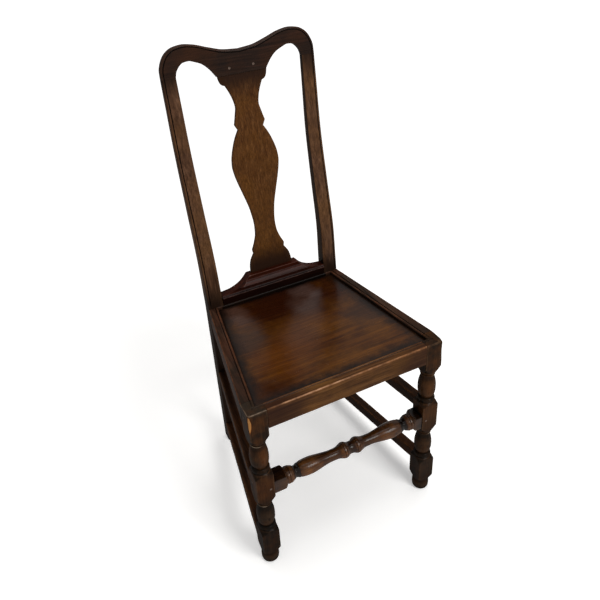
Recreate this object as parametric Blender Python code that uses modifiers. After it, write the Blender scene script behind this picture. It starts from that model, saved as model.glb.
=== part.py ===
# Country side chair in oak: yoke-shaped crest, vase splat on a moulded shoe, recessed board
# seat in a trapezoid frame, turned front legs and front stretcher, plain side stretchers.
# Metres, +Z up. The front faces -Y, the feet stand on z = 0 and the plan is centred.
# Inside the chair's own empty, y = 0 is the plane of the front legs' faces.

import math

import bmesh
import bpy
from mathutils import Matrix, Vector

# Fits
CLEARANCE = 0.0003
OVERRUN = 0.004
OVERLAP = 0.005
WELD_DISTANCE = 0.00002

# Front legs, from the floor up
LEG_SQUARE = 0.0408
FOOT_LENGTH = 0.0488
LOW_BLOCK_LENGTH = 0.0541
TURNING_LENGTH = 0.1167
MID_BLOCK_LENGTH = 0.0650
TOP_BLOCK_LENGTH = 0.0681

# Stance and seat frame
FRONT_WIDTH = 0.450
REAR_WIDTH = 0.3478
SEAT_DEPTH = 0.3744
SEAT_FALL_SHARE = 0.05
RAIL_HEIGHT = 0.0504
FRONT_RIM = 0.024
SIDE_RIM = 0.022
SIDE_RIM_FRONT = 0.027
REAR_RIM = 0.022
LEDGE = 0.010
BOARD_RECESS = 0.007
BOARD_THICKNESS = 0.012

# Rear posts
POST_FOOT_WIDTH = 0.032
POST_FOOT_DEPTH = 0.028
POST_FOOT_TUCK = 0.0009
POST_SEAT_WIDTH = 0.0372
POST_SEAT_DEPTH = 0.031
POST_TOP_WIDTH = 0.032
POST_TOP_SPREAD = 0.0047
POST_RISE = 0.536
POST_SET_BACK = 0.0922

# Crest rail
CREST_THICKNESS = 0.014
CREST_RISE = 0.0646
CREST_DROP = 0.0141
CREST_LEAN_SHARE = 0.135

# Splat and its shoe
SPLAT_HALF_WIDTH = 0.0575
SPLAT_THICKNESS = 0.010
SPLAT_TOP_SET_BACK = 0.0018
SPLAT_FOOT_SPARE = 0.002
SHOE_HEIGHT = 0.060
SHOE_FRONT_INSET = -0.0009
SHOE_DEPTH = 0.0235
SHOE_SPLAT_SET_BACK = 0.0122
SHOE_TOP_HALF_LENGTH = 0.0645

# Stretchers
SIDE_STRETCHER_HEIGHT = 0.029
SIDE_STRETCHER_THICKNESS = 0.020
SIDE_STRETCHER_INSET = 0.0025
UPPER_STRETCHER_BOTTOM = 0.243
UPPER_FALL_SHARE = 0.055
LOWER_STRETCHER_BOTTOM = 0.062
LOWER_FALL_SHARE = 0.06
FRONT_STRETCHER_AXIS = 0.2408
FRONT_STRETCHER_HEIGHT = 0.032
FRONT_STRETCHER_DEPTH = 0.030
FRONT_STRETCHER_OFFSET = 0.007
FRONT_STRETCHER_BLOCK_LENGTH = 0.0212
FRONT_STRETCHER_RADIUS = 0.0164
REAR_STRETCHER_BOTTOM = 0.150
REAR_STRETCHER_SET_BACK = 0.006
REAR_STRETCHER_THICKNESS = 0.016

# Tenons and pegs
RAIL_TENON_THICKNESS = 0.009
RAIL_TENON_INSET = 0.008
RAIL_TENON_LENGTH = 0.021
RAIL_TENON_MARGIN = 0.010
REAR_TENON_LENGTH = 0.016
STRETCHER_TENON_THICKNESS = 0.008
STRETCHER_TENON_INSET = 0.006
STRETCHER_TENON_LENGTH = 0.022
STRETCHER_TENON_MARGIN = 0.0035
FRONT_TENON_LENGTH = 0.019
FRONT_TENON_HEIGHT = 0.024
BACK_TENON_THICKNESS = 0.0065
CREST_TENON_WIDTH = 0.019
CREST_TENON_LENGTH = 0.019
SPLAT_TENON_LENGTH = 0.024
SPLAT_TENON_HALF_WIDTH = 0.042
SHOE_TENON_LENGTH = 0.014
PEG_RADIUS = 0.003
PEG_LENGTH = 0.020
SPLAT_PEG_SPACING = 0.056
SPLAT_PEG_RISE = 0.0145
FRONT_PEG_INSET = 0.0096
FRONT_PEG_RISE = 0.004
SIDE_PEG_DEPTH = 0.0245
RAIL_PEG_DEPTH = 0.027
RAIL_PEG_DROP = 0.0254

# Mesh counts, and the bend up to which neighbouring facets shade as one surface
TURNING_STEPS = 24
STRETCHER_STEPS = 20
PEG_SIDES = 12
CURVE_STEPS = 4
SMOOTH_ANGLE = math.radians(40)

# Handle kinds of an outline's points
ROUND = "AUTO"
CORNER = "VECTOR"

# A square blank stays square where its turning profile is wider than the blank's corners.
BLANK_SHARE = 1.46

# One turned length of a front leg, from a block's lower end down to the next block's top:
# distance as a share of the length, radius as a share of half the leg's square.
TURNING_SHARES = (
    (0.000, BLANK_SHARE),
    (0.150, 0.76),
    (0.155, 0.82),
    (0.180, 0.82),
    (0.190, 0.73),
    (0.280, 0.82),
    (0.380, 0.93),
    (0.490, 0.99),
    (0.600, 1.00),
    (0.700, 0.95),
    (0.770, 0.86),
    (0.815, 0.75),
    (0.825, 0.84),
    (0.850, 0.91),
    (0.880, 0.91),
    (0.905, 0.84),
    (0.915, 0.78),
    (0.930, 0.82),
    (1.000, BLANK_SHARE),
)

# The foot, from the low block down to the floor, in the same shares.
FOOT_SHARES = (
    (0.00, BLANK_SHARE),
    (0.33, 0.85),
    (0.42, 0.82),
    (0.50, 0.87),
    (0.60, 0.92),
    (0.72, 0.94),
    (0.85, 0.90),
    (0.95, 0.80),
    (1.00, 0.71),
)

# The front stretcher, from its middle groove outwards: distance as a share of the turned
# half, radius as a share of the widest radius.
STRETCHER_SHARES = (
    (0.000, 0.69),
    (0.037, 0.815),
    (0.092, 0.925),
    (0.147, 0.80),
    (0.205, 0.69),
    (0.280, 0.68),
    (0.430, 0.80),
    (0.550, 0.945),
    (0.660, 1.00),
    (0.725, 0.955),
    (0.765, 0.83),
    (0.785, 0.67),
    (0.800, 0.67),
    (0.805, 0.83),
    (0.840, 0.90),
    (0.875, 0.83),
    (0.880, 0.64),
    (0.900, 0.64),
    (0.905, 0.86),
    (0.935, 1.02),
    (0.965, 0.80),
    (1.000, BLANK_SHARE),
)

# Front face of a post above the seat: height share of the rise, share of the set-back.
POST_SHARES = (
    (0.000, 0.000),
    (0.069, 0.042),
    (0.207, 0.125),
    (0.433, 0.427),
    (0.692, 0.758),
    (0.858, 0.888),
    (1.000, 1.000),
)

# Right half of the crest above and below its joint with the posts: across as a share of
# the half width over the posts' tops, up as a share of the rise, then the kind of point.
CREST_UNDER_SHARES = (
    (0.347, -0.110, ROUND),
    (0.403, 0.094, ROUND),
    (0.476, 0.273, ROUND),
    (0.560, 0.383, ROUND),
    (0.638, 0.453, ROUND),
    (0.706, 0.437, ROUND),
    (0.767, 0.320, ROUND),
    (0.806, 0.156, ROUND),
)
CREST_OUTER_SHARES = (
    (0.998, 0.250, ROUND),
    (0.966, 0.547, ROUND),
    (0.896, 0.813, ROUND),
    (0.795, 0.961, ROUND),
    (0.683, 1.000, ROUND),
    (0.549, 0.942, ROUND),
    (0.358, 0.766, ROUND),
    (0.179, 0.625, ROUND),
    (0.000, 0.578, ROUND),
)

# Right half of the splat: across as a share of its half width, up as a share of its length.
SPLAT_SHARES = (
    (0.940, 0.000, CORNER),
    (0.925, 0.025, ROUND),
    (0.870, 0.056, ROUND),
    (0.690, 0.095, CORNER),
    (0.715, 0.115, CORNER),
    (0.560, 0.158, ROUND),
    (0.470, 0.199, ROUND),
    (0.450, 0.242, ROUND),
    (0.515, 0.318, ROUND),
    (0.730, 0.422, ROUND),
    (0.853, 0.474, ROUND),
    (0.955, 0.528, ROUND),
    (0.990, 0.563, ROUND),
    (0.905, 0.632, ROUND),
    (0.782, 0.677, ROUND),
    (0.661, 0.710, ROUND),
    (0.530, 0.738, CORNER),
    (0.635, 0.764, CORNER),
    (0.540, 0.810, ROUND),
    (0.480, 0.848, ROUND),
    (0.530, 0.885, ROUND),
    (0.620, 0.917, ROUND),
    (0.750, 0.952, CORNER),
    (0.880, 0.960, ROUND),
    (0.960, 0.978, ROUND),
    (1.000, 1.000, CORNER),
)

# Ramp at each end of the shoe: along as a share of the way from its flat top to the post,
# up as a share of its height.
RAMP_SHARES = (
    (0.000, 1.000, CORNER),
    (0.100, 0.855, ROUND),
    (0.230, 0.700, ROUND),
    (0.440, 0.545, ROUND),
    (0.680, 0.455, ROUND),
    (1.000, 0.420, CORNER),
)

# Moulded front of the shoe, from the rail up: set-back as a share of its depth, up as a
# share of its height.
SHOE_FRONT_SHARES = (
    (0.000, 0.000),
    (0.000, 0.280),
    (-0.080, 0.310),
    (-0.080, 0.360),
    (0.040, 0.390),
    (0.120, 0.470),
    (0.080, 0.560),
    (-0.250, 0.620),
    (-0.340, 0.660),
    (-0.120, 0.800),
    (0.020, 0.870),
    (0.000, 1.000),
)

# Waxed oak by place: linear red, green and blue, then roughness
OAK_FRAME = (0.085, 0.036, 0.016, 0.40)
OAK_CREST = (0.030, 0.017, 0.012, 0.35)
OAK_SPLAT = (0.110, 0.045, 0.017, 0.36)
OAK_SHOE = (0.050, 0.018, 0.010, 0.32)
OAK_BOARD = (0.090, 0.031, 0.011, 0.24)
OAK_RAIL = (0.130, 0.058, 0.026, 0.40)
OAK_TURNED = (0.100, 0.043, 0.020, 0.36)
OAK_PEG = (0.035, 0.020, 0.014, 0.50)

# Places worked out from the sizes above
HALF_SQUARE = LEG_SQUARE / 2
LOW_BLOCK_TOP = FOOT_LENGTH + LOW_BLOCK_LENGTH
MID_BLOCK_BOTTOM = LOW_BLOCK_TOP + TURNING_LENGTH
MID_BLOCK_TOP = MID_BLOCK_BOTTOM + MID_BLOCK_LENGTH
TOP_BLOCK_BOTTOM = MID_BLOCK_TOP + TURNING_LENGTH
SEAT_HEIGHT = TOP_BLOCK_BOTTOM + TOP_BLOCK_LENGTH
REAR_SEAT_HEIGHT = SEAT_HEIGHT - SEAT_FALL_SHARE * SEAT_DEPTH
SPLAY_SHARE = (FRONT_WIDTH - REAR_WIDTH) / 2 / (SEAT_DEPTH - LEG_SQUARE)
RAIL_BOTTOM = SEAT_HEIGHT - RAIL_HEIGHT
LEG_INNER = FRONT_WIDTH / 2 - LEG_SQUARE
BLIND_SPARE = 2 * CLEARANCE
TURNED_HALF = LEG_INNER - FRONT_STRETCHER_BLOCK_LENGTH
BOARD_BACK = SEAT_DEPTH - REAR_RIM
BOARD_TOP = SEAT_HEIGHT - BOARD_RECESS
RECESS_FLOOR = BOARD_TOP - BOARD_THICKNESS - CLEARANCE
POST_INNER = REAR_WIDTH / 2 - POST_SEAT_WIDTH
POST_TOP_OUTER = REAR_WIDTH / 2 + POST_TOP_SPREAD
SHOE_FRONT = SEAT_DEPTH + SHOE_FRONT_INSET
SHOE_BACK = SHOE_FRONT + SHOE_DEPTH
JOINT_HEIGHT = REAR_SEAT_HEIGHT + POST_RISE
CREST_FRONT = SEAT_DEPTH + POST_SET_BACK
CREST_LEAN = math.atan(CREST_LEAN_SHARE)
DEEPEST = CREST_FRONT + CREST_RISE * math.sin(CREST_LEAN) + CREST_THICKNESS * math.cos(CREST_LEAN)

# Planes that outlines are drawn in: an outline's x and y, then its thickness
PLAN = Matrix.Identity(4)
FRONT = Matrix.Rotation(math.pi / 2, 4, "X")
SIDE = Matrix(((0, 0, 1, 0), (1, 0, 0, 0), (0, 1, 0, 0), (0, 0, 0, 1)))

# The crest's leaning frame, and the turn that points a peg's length backwards
CREST_PLACE = Matrix.Translation((0, CREST_FRONT, JOINT_HEIGHT)) @ Matrix.Rotation(-CREST_LEAN, 4, "X")
BACKWARDS = Matrix.Rotation(-math.pi / 2, 4, "X")


def clear_scene():
    for item in list(bpy.data.objects):
        bpy.data.objects.remove(item, do_unlink=True)


def new_collection(name):
    collection = bpy.data.collections.new(name)
    bpy.context.scene.collection.children.link(collection)
    return collection


clear_scene()
PARTS = new_collection("country_side_chair")
CUTTERS = new_collection("cutters")
CHAIR = bpy.data.objects.new("chair", None)
PARTS.objects.link(CHAIR)
CHAIR.location = (0, -DEEPEST / 2, 0)


def put(name, mesh, place, group):
    """Object of this mesh at a place in the chair's frame."""
    item = bpy.data.objects.new(name, mesh)
    group.objects.link(item)
    item.parent = CHAIR
    item.matrix_basis = place
    if group is CUTTERS:
        item.hide_render = True
        item.display_type = "WIRE"
    return item


def box(name, low, high, group=CUTTERS, place=PLAN):
    """Box between two corners, given in the frame of place."""
    low = Vector(low)
    high = Vector(high)
    shape = bmesh.new()
    bmesh.ops.create_cube(shape, size=1)
    bmesh.ops.scale(shape, vec=high - low, verts=shape.verts)
    mesh = bpy.data.meshes.new(name)
    shape.to_mesh(mesh)
    shape.free()
    return put(name, mesh, place @ Matrix.Translation((low + high) / 2), group)


def prism(name, points, thickness, place, group=CUTTERS):
    """Flat outline of (x, y, handle) points made a solid, half its thickness to each side."""
    curve = bpy.data.curves.new(name, "CURVE")
    curve.dimensions = "2D"
    curve.fill_mode = "BOTH"
    curve.extrude = thickness / 2
    curve.resolution_u = CURVE_STEPS
    spline = curve.splines.new("BEZIER")
    spline.bezier_points.add(len(points) - 1)
    for knot, (x, y, handle) in zip(spline.bezier_points, points):
        knot.co = (x, y, 0)
        knot.handle_left_type = handle
        knot.handle_right_type = handle
    spline.use_cyclic_u = True
    drawn = put(name + "_outline", curve, place, CUTTERS)
    bpy.context.view_layer.update()
    graph = bpy.context.evaluated_depsgraph_get()
    mesh = bpy.data.meshes.new_from_object(drawn.evaluated_get(graph))
    shape = bmesh.new()
    shape.from_mesh(mesh)
    bmesh.ops.remove_doubles(shape, verts=shape.verts, dist=WELD_DISTANCE)
    bmesh.ops.recalc_face_normals(shape, faces=shape.faces)
    shape.to_mesh(mesh)
    shape.free()
    item = put(name, mesh, drawn.matrix_basis, group)
    bpy.data.objects.remove(drawn)
    return item


def polygon(name, points, low, high, group=CUTTERS):
    """Straight-sided plan outline between two heights."""
    corners = [(x, y, CORNER) for x, y in points]
    place = Matrix.Translation((0, 0, (low + high) / 2))
    return prism(name, corners, high - low, place, group)


def turned(name, profile, steps, place):
    """Solid of revolution about its own Z from (radius, height) points, top to bottom."""
    mesh = bpy.data.meshes.new(name)
    points = [(radius, 0, height) for radius, height in profile]
    mesh.from_pydata(points, [(i, i + 1) for i in range(len(points) - 1)], [])
    item = put(name, mesh, place, CUTTERS)
    screw = item.modifiers.new("turning", "SCREW")
    screw.steps = steps
    screw.render_steps = steps
    screw.use_merge_vertices = True
    screw.merge_threshold = WELD_DISTANCE
    screw.use_smooth_shade = True
    return item


def fall(item, share):
    """Lower a piece by a share of its depth: its top slopes and its ends stay upright."""
    slope = Matrix.Identity(4)
    slope[2][1] = -share
    place = item.matrix_basis.copy()
    item.data.transform(place.inverted() @ slope @ place)
    return item


def boolean(item, other, operation):
    modifier = item.modifiers.new(other.name, "BOOLEAN")
    modifier.operation = operation
    modifier.object = other


def join(with_tenon, with_mortise, make):
    """One mortise and tenon: make(name, grow) draws the tenon, grown for the mortise."""
    name = f"{with_tenon.name}_in_{with_mortise.name}"
    boolean(with_tenon, make(name + "_tenon", 0), "UNION")
    boolean(with_mortise, make(name + "_mortise", CLEARANCE), "DIFFERENCE")


def grown_box(name, low, high, grow, place=PLAN):
    low = [value - grow for value in low]
    high = [value + grow for value in high]
    return box(name, low, high, place=place)


def wood(item, finish):
    *colour, roughness = finish
    material = bpy.data.materials.new(item.name + "_oak")
    material.use_nodes = True
    shader = material.node_tree.nodes["Principled BSDF"]
    shader.inputs["Base Color"].default_value = (*colour, 1)
    shader.inputs["Roughness"].default_value = roughness
    shader.inputs["Metallic"].default_value = 0
    material.diffuse_color = (*colour, 1)
    item.data.materials.clear()
    item.data.materials.append(material)


def round_shading(item):
    item.data.shade_smooth()
    item.data.set_sharp_from_angle(angle=SMOOTH_ANGLE)


def seat_x(depth):
    """Half width of the seat frame at a depth, splayed from behind the square front legs."""
    return FRONT_WIDTH / 2 - SPLAY_SHARE * (depth - LEG_SQUARE)


def recess_x(depth):
    """Half width of the board's recess: the side rims widen a little to the front."""
    front = seat_x(FRONT_RIM) - SIDE_RIM_FRONT
    back = seat_x(BOARD_BACK) - SIDE_RIM
    return front + (back - front) * (depth - FRONT_RIM) / (BOARD_BACK - FRONT_RIM)


def stretcher_x(depth):
    """Outer face of the side stretchers: just inside the leg's face, flush with the post."""
    front = FRONT_WIDTH / 2 - SIDE_STRETCHER_INSET
    along = (depth - LEG_SQUARE) / (SEAT_DEPTH - LEG_SQUARE)
    return front + (REAR_WIDTH / 2 - front) * along


def strip(name, line, inset, width, near, far, low, high, group=CUTTERS):
    """Piece that follows a side line of the plan, between two depths and two heights."""
    near_x = line(near) - inset
    far_x = line(far) - inset
    corners = [(near_x, near), (far_x, far), (far_x - width, far), (near_x - width, near)]
    return polygon(name, corners, low, high, group)


def mirror(item, side):
    """Turn a piece drawn on the right to the left where side is -1."""
    if side < 0:
        flip = Matrix.Scale(-1, 4, (1, 0, 0))
        place = item.matrix_basis.copy()
        item.data.transform(place.inverted() @ flip @ place)
        item.data.flip_normals()
    return item


def post_inner(height):
    """Inner face of a post between the floor and the seat."""
    foot = REAR_WIDTH / 2 - POST_FOOT_TUCK - POST_FOOT_WIDTH
    return foot + (POST_INNER - foot) * height / REAR_SEAT_HEIGHT


def leg_profile():
    """Turning profile of a whole front leg, from above the seat down to the floor."""
    profile = [(0, SEAT_HEIGHT + OVERRUN), (BLANK_SHARE * HALF_SQUARE, SEAT_HEIGHT + OVERRUN)]
    for top, length, shares in (
        (TOP_BLOCK_BOTTOM, TURNING_LENGTH, TURNING_SHARES),
        (MID_BLOCK_BOTTOM, TURNING_LENGTH, TURNING_SHARES),
        (FOOT_LENGTH, FOOT_LENGTH, FOOT_SHARES),
    ):
        for down, radius in shares:
            profile.append((radius * HALF_SQUARE, top - down * length))
    profile.append((0, 0))
    return profile


def front_leg(name, side):
    """Square blank turned between its blocks."""
    centre = (FRONT_WIDTH / 2 - HALF_SQUARE, HALF_SQUARE)
    low = (centre[0] - HALF_SQUARE, 0, -OVERRUN)
    leg = box(name, low, (FRONT_WIDTH / 2, LEG_SQUARE, SEAT_HEIGHT), PARTS)
    for vertex in leg.data.vertices:
        if vertex.co.z > 0:
            vertex.co.z -= SEAT_FALL_SHARE * (vertex.co.y + HALF_SQUARE)
    mirror(leg, side)
    place = Matrix.Translation((side * centre[0], centre[1], 0))
    place = place @ Matrix.Rotation(math.pi / TURNING_STEPS, 4, "Z")
    boolean(leg, turned(name + "_turning", leg_profile(), TURNING_STEPS, place), "INTERSECT")
    wood(leg, OAK_TURNED)
    return leg


def post_side_outline():
    """Side view of a rear post: (depth, height, handle) points."""
    foot = (SEAT_DEPTH + POST_FOOT_DEPTH, 0, CORNER)
    points = [(SEAT_DEPTH, 0, CORNER)]
    back = [foot]
    for up, set_back in POST_SHARES:
        height = REAR_SEAT_HEIGHT + POST_RISE * up
        front = SEAT_DEPTH + POST_SET_BACK * set_back
        depth = POST_SEAT_DEPTH + (CREST_THICKNESS - POST_SEAT_DEPTH) * up
        kind = ROUND if up > 0 else CORNER
        points.append((front, height, kind))
        back.append((front + depth, height, kind))
    up_y = math.sin(CREST_LEAN)
    up_z = math.cos(CREST_LEAN)
    top_y = CREST_FRONT - CLEARANCE * up_y
    top_z = JOINT_HEIGHT - CLEARANCE * up_z
    points[-1] = (top_y, top_z, CORNER)
    back[-1] = (top_y + CREST_THICKNESS * up_z, top_z - CREST_THICKNESS * up_y, CORNER)
    return points + back[::-1]


def rear_post(name, side):
    """Leg and back post in one, sawn to a side outline and then to a front outline."""
    middle = REAR_WIDTH / 2 - POST_SEAT_WIDTH / 2
    place = Matrix.Translation((side * middle, 0, 0)) @ SIDE
    post = prism(name, post_side_outline(), POST_SEAT_WIDTH * 2, place, PARTS)
    outer_foot = REAR_WIDTH / 2 - POST_FOOT_TUCK
    top = JOINT_HEIGHT + OVERRUN
    sawn = [
        (outer_foot, -OVERRUN, CORNER),
        (REAR_WIDTH / 2, REAR_SEAT_HEIGHT, CORNER),
        (POST_TOP_OUTER, top, CORNER),
        (POST_TOP_OUTER - POST_TOP_WIDTH, top, CORNER),
        (POST_INNER, REAR_SEAT_HEIGHT, CORNER),
        (outer_foot - POST_FOOT_WIDTH, -OVERRUN, CORNER),
    ]
    place = Matrix.Translation((0, SEAT_DEPTH, 0)) @ FRONT
    width = 2 * (POST_SET_BACK + POST_SEAT_DEPTH + OVERRUN)
    boolean(post, mirror(prism(name + "_front_view", sawn, width, place), side), "INTERSECT")
    wood(post, OAK_FRAME)
    return post


def crest_rail():
    """Yoke-shaped top rail, a flat board that leans with the tops of the posts."""
    inner = POST_TOP_OUTER - POST_TOP_WIDTH
    half = [(SPLAT_HALF_WIDTH, -CREST_DROP, CORNER)]
    half += [(POST_TOP_OUTER * x, CREST_RISE * z, kind) for x, z, kind in CREST_UNDER_SHARES]
    half += [(inner, 0, CORNER), (POST_TOP_OUTER, 0, CORNER)]
    half += [(POST_TOP_OUTER * x, CREST_RISE * z, kind) for x, z, kind in CREST_OUTER_SHARES]
    other = [(-x, z, kind) for x, z, kind in half[:-1]]
    place = CREST_PLACE @ Matrix.Translation((0, CREST_THICKNESS / 2, 0)) @ FRONT
    crest = prism("crest_rail", half + other[::-1], CREST_THICKNESS, place, PARTS)
    round_shading(crest)
    wood(crest, OAK_CREST)
    return crest


def splat_place():
    """Frame of the splat: its foot on the shoe, its head behind the crest's front face."""
    foot = Vector((0, SHOE_FRONT + SHOE_SPLAT_SET_BACK, REAR_SEAT_HEIGHT + SHOE_HEIGHT))
    head = CREST_PLACE @ Vector((0, SPLAT_TOP_SET_BACK, -CREST_DROP))
    rise = head - foot
    lean = math.atan2(rise.y, rise.z)
    return Matrix.Translation(foot) @ Matrix.Rotation(-lean, 4, "X"), rise.length


def splat(place, length):
    """Vase-shaped board between the shoe and the crest."""
    usable = length - 2 * CLEARANCE
    half = [(SPLAT_HALF_WIDTH * x, usable * z, kind) for x, z, kind in SPLAT_SHARES]
    half.insert(0, (half[0][0], -SPLAT_FOOT_SPARE, CORNER))
    other = [(-x, z, kind) for x, z, kind in half]
    place = place @ Matrix.Translation((0, SPLAT_THICKNESS / 2, 0)) @ FRONT
    board = prism("splat", half + other[::-1], SPLAT_THICKNESS, place, PARTS)
    top = SEAT_HEIGHT + SHOE_HEIGHT
    low = (-SPLAT_HALF_WIDTH, SHOE_FRONT, top - OVERRUN)
    foot = box("shoe_top", low, (SPLAT_HALF_WIDTH, SHOE_BACK + OVERRUN, top + CLEARANCE))
    boolean(board, fall(foot, SEAT_FALL_SHARE), "DIFFERENCE")
    round_shading(board)
    wood(board, OAK_SPLAT)
    return board


def splat_shoe():
    """Moulded shoe on the rear rail: front moulding and end ramps cut from one block."""
    end = POST_INNER - CLEARANCE
    low = SEAT_HEIGHT + CLEARANCE
    section = [
        (SHOE_FRONT + SHOE_DEPTH * y, max(low, SEAT_HEIGHT + SHOE_HEIGHT * z), CORNER)
        for y, z in SHOE_FRONT_SHARES
    ]
    section += [(SHOE_BACK, SEAT_HEIGHT + SHOE_HEIGHT, CORNER), (SHOE_BACK, low, CORNER)]
    shoe = prism("splat_shoe", section, end * 2, SIDE, PARTS)
    reach = end - SHOE_TOP_HALF_LENGTH
    ramp = [
        (SHOE_TOP_HALF_LENGTH + reach * x, SEAT_HEIGHT + SHOE_HEIGHT * z, kind)
        for x, z, kind in RAMP_SHARES
    ]
    base = SEAT_HEIGHT - OVERRUN
    half = [(SHOE_TOP_HALF_LENGTH, SEAT_HEIGHT + SHOE_HEIGHT + OVERRUN, CORNER)] + ramp
    half[-1] = (end + OVERRUN, half[-1][1], CORNER)
    half.append((end + OVERRUN, base, CORNER))
    other = [(-x, z, kind) for x, z, kind in half]
    place = Matrix.Translation((0, SHOE_FRONT, 0)) @ FRONT
    ramps = prism("shoe_ramps", half + other[::-1], 2 * (SHOE_DEPTH + OVERRUN), place)
    boolean(shoe, fall(ramps, SEAT_FALL_SHARE), "INTERSECT")
    wood(shoe, OAK_SHOE)
    return fall(shoe, SEAT_FALL_SHARE)


def board_recess():
    """The rebate that the seat board lies in, open upwards."""
    near = FRONT_RIM
    corners = [
        (recess_x(near), near),
        (recess_x(BOARD_BACK), BOARD_BACK),
        (-recess_x(BOARD_BACK), BOARD_BACK),
        (-recess_x(near), near),
    ]
    recess =polygon("board_recess", corners, RECESS_FLOOR, SEAT_HEIGHT + OVERRUN)
    return fall(recess, SEAT_FALL_SHARE)


def seat_board():
    near = FRONT_RIM + CLEARANCE
    far = BOARD_BACK - CLEARANCE
    corners = [
        (recess_x(near) - CLEARANCE, near),
        (recess_x(far) - CLEARANCE, far),
        (CLEARANCE - recess_x(far), far),
        (CLEARANCE - recess_x(near), near),
    ]
    board = polygon("seat_board", corners, BOARD_TOP - BOARD_THICKNESS, BOARD_TOP, PARTS)
    wood(board, OAK_BOARD)
    return fall(board, SEAT_FALL_SHARE)


def front_rail():
    end = LEG_INNER - CLEARANCE
    low = (-end, 0, RAIL_BOTTOM)
    rail = box("front_seat_rail", low, (end, FRONT_RIM + LEDGE, SEAT_HEIGHT), PARTS)
    wood(rail, OAK_RAIL)
    return fall(rail, SEAT_FALL_SHARE)


def side_rail(name, side):
    width = SIDE_RIM_FRONT + LEDGE
    near = LEG_SQUARE + CLEARANCE
    far = SEAT_DEPTH - CLEARANCE
    rail = strip(name, seat_x, 0, width, near, far, RAIL_BOTTOM, SEAT_HEIGHT, PARTS)
    wood(rail, OAK_FRAME)
    return fall(mirror(rail, side), SEAT_FALL_SHARE)


def rear_rail():
    """Rear rail between the posts, with a lip in front of them that closes the frame."""
    inner = POST_INNER - CLEARANCE
    lip = BOARD_BACK - LEDGE
    back = SEAT_DEPTH - CLEARANCE
    gap = SIDE_RIM_FRONT + LEDGE + CLEARANCE
    right = [
        (seat_x(lip) - gap, lip),
        (seat_x(back) - gap, back),
        (inner, back),
        (inner, SHOE_BACK),
    ]
    corners = right + [(-x, y) for x, y in right[::-1]]
    rail = polygon("rear_seat_rail", corners, RAIL_BOTTOM, SEAT_HEIGHT, PARTS)
    wood(rail, OAK_FRAME)
    return fall(rail, SEAT_FALL_SHARE)


def side_stretcher(name, side, low, share):
    near = LEG_SQUARE + CLEARANCE
    far = SEAT_DEPTH - CLEARANCE
    high = low + SIDE_STRETCHER_HEIGHT
    width = SIDE_STRETCHER_THICKNESS
    item = strip(name, stretcher_x, 0, width, near, far, low, high, PARTS)
    wood(item, OAK_FRAME)
    return fall(mirror(item, side), share)


def front_stretcher():
    """Turned stretcher with square ends, its pattern a little off the chair's middle."""
    end = LEG_INNER - CLEARANCE
    half_y = FRONT_STRETCHER_DEPTH / 2
    half_z = FRONT_STRETCHER_HEIGHT / 2
    low = (-end, HALF_SQUARE - half_y, FRONT_STRETCHER_AXIS - half_z)
    high = (end, HALF_SQUARE + half_y, FRONT_STRETCHER_AXIS + half_z)
    bar = box("front_stretcher", low, high, PARTS)
    half = [
        (FRONT_STRETCHER_RADIUS * radius, TURNED_HALF * along)
        for along, radius in STRETCHER_SHARES
    ]
    blank = FRONT_STRETCHER_RADIUS * BLANK_SHARE
    beyond = end + OVERRUN + FRONT_STRETCHER_OFFSET
    profile = [(0, beyond), (blank, beyond)] + half[::-1]
    profile += [(radius, -along) for radius, along in half[1:]] + [(blank, -beyond), (0, -beyond)]
    centre = Matrix.Translation((FRONT_STRETCHER_OFFSET, HALF_SQUARE, FRONT_STRETCHER_AXIS))
    place = centre @ Matrix.Rotation(math.pi / 2, 4, "Y")
    boolean(bar, turned("stretcher_turning", profile, STRETCHER_STEPS, place), "INTERSECT")
    wood(bar, OAK_TURNED)
    return bar


def rear_stretcher():
    high = REAR_STRETCHER_BOTTOM + SIDE_STRETCHER_HEIGHT
    end = post_inner(high) - CLEARANCE
    near = SEAT_DEPTH + REAR_STRETCHER_SET_BACK
    far = near + REAR_STRETCHER_THICKNESS
    bar = box("rear_stretcher", (-end, near, REAR_STRETCHER_BOTTOM), (end, far, high), PARTS)
    wood(bar, OAK_FRAME)
    return bar


def peg(name, place, length, spare, holes):
    """Round peg along its own Z, from its face inwards, with its hole in each piece."""
    for radius, start, end, title, group in (
        (PEG_RADIUS, CLEARANCE, length + CLEARANCE, name, PARTS),
        (PEG_RADIUS + CLEARANCE, -OVERRUN, length + spare, name + "_hole", CUTTERS),
    ):
        shape = bmesh.new()
        bmesh.ops.create_cone(
            shape,
            cap_ends=True,
            segments=PEG_SIDES,
            radius1=radius,
            radius2=radius,
            depth=end - start,
        )
        mesh = bpy.data.meshes.new(title)
        shape.to_mesh(mesh)
        shape.free()
        item = put(title, mesh, place @ Matrix.Translation((0, 0, (start + end) / 2)), group)
        if group is PARTS:
            round_shading(item)
            wood(item, OAK_PEG)
        else:
            for piece in holes:
                boolean(piece, item, "DIFFERENCE")


def along_side(near, far, low, high, line, inset, width, share, side):
    """Maker of a tenon that follows a side line of the plan."""

    def make(name, grow):
        item = strip(
            name,
            line,
            inset - grow,
            width + 2 * grow,
            near - grow,
            far + grow,
            low - grow,
            high + grow,
        )
        return fall(mirror(item, side), share)

    return make


def across(start, end, near, far, low, high, share, side):
    """Maker of a tenon that runs sideways, from one x to another."""

    def make(name, grow):
        item = grown_box(name, (start, near, low), (end, far, high), grow)
        return fall(mirror(item, side), share)

    return make


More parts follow.
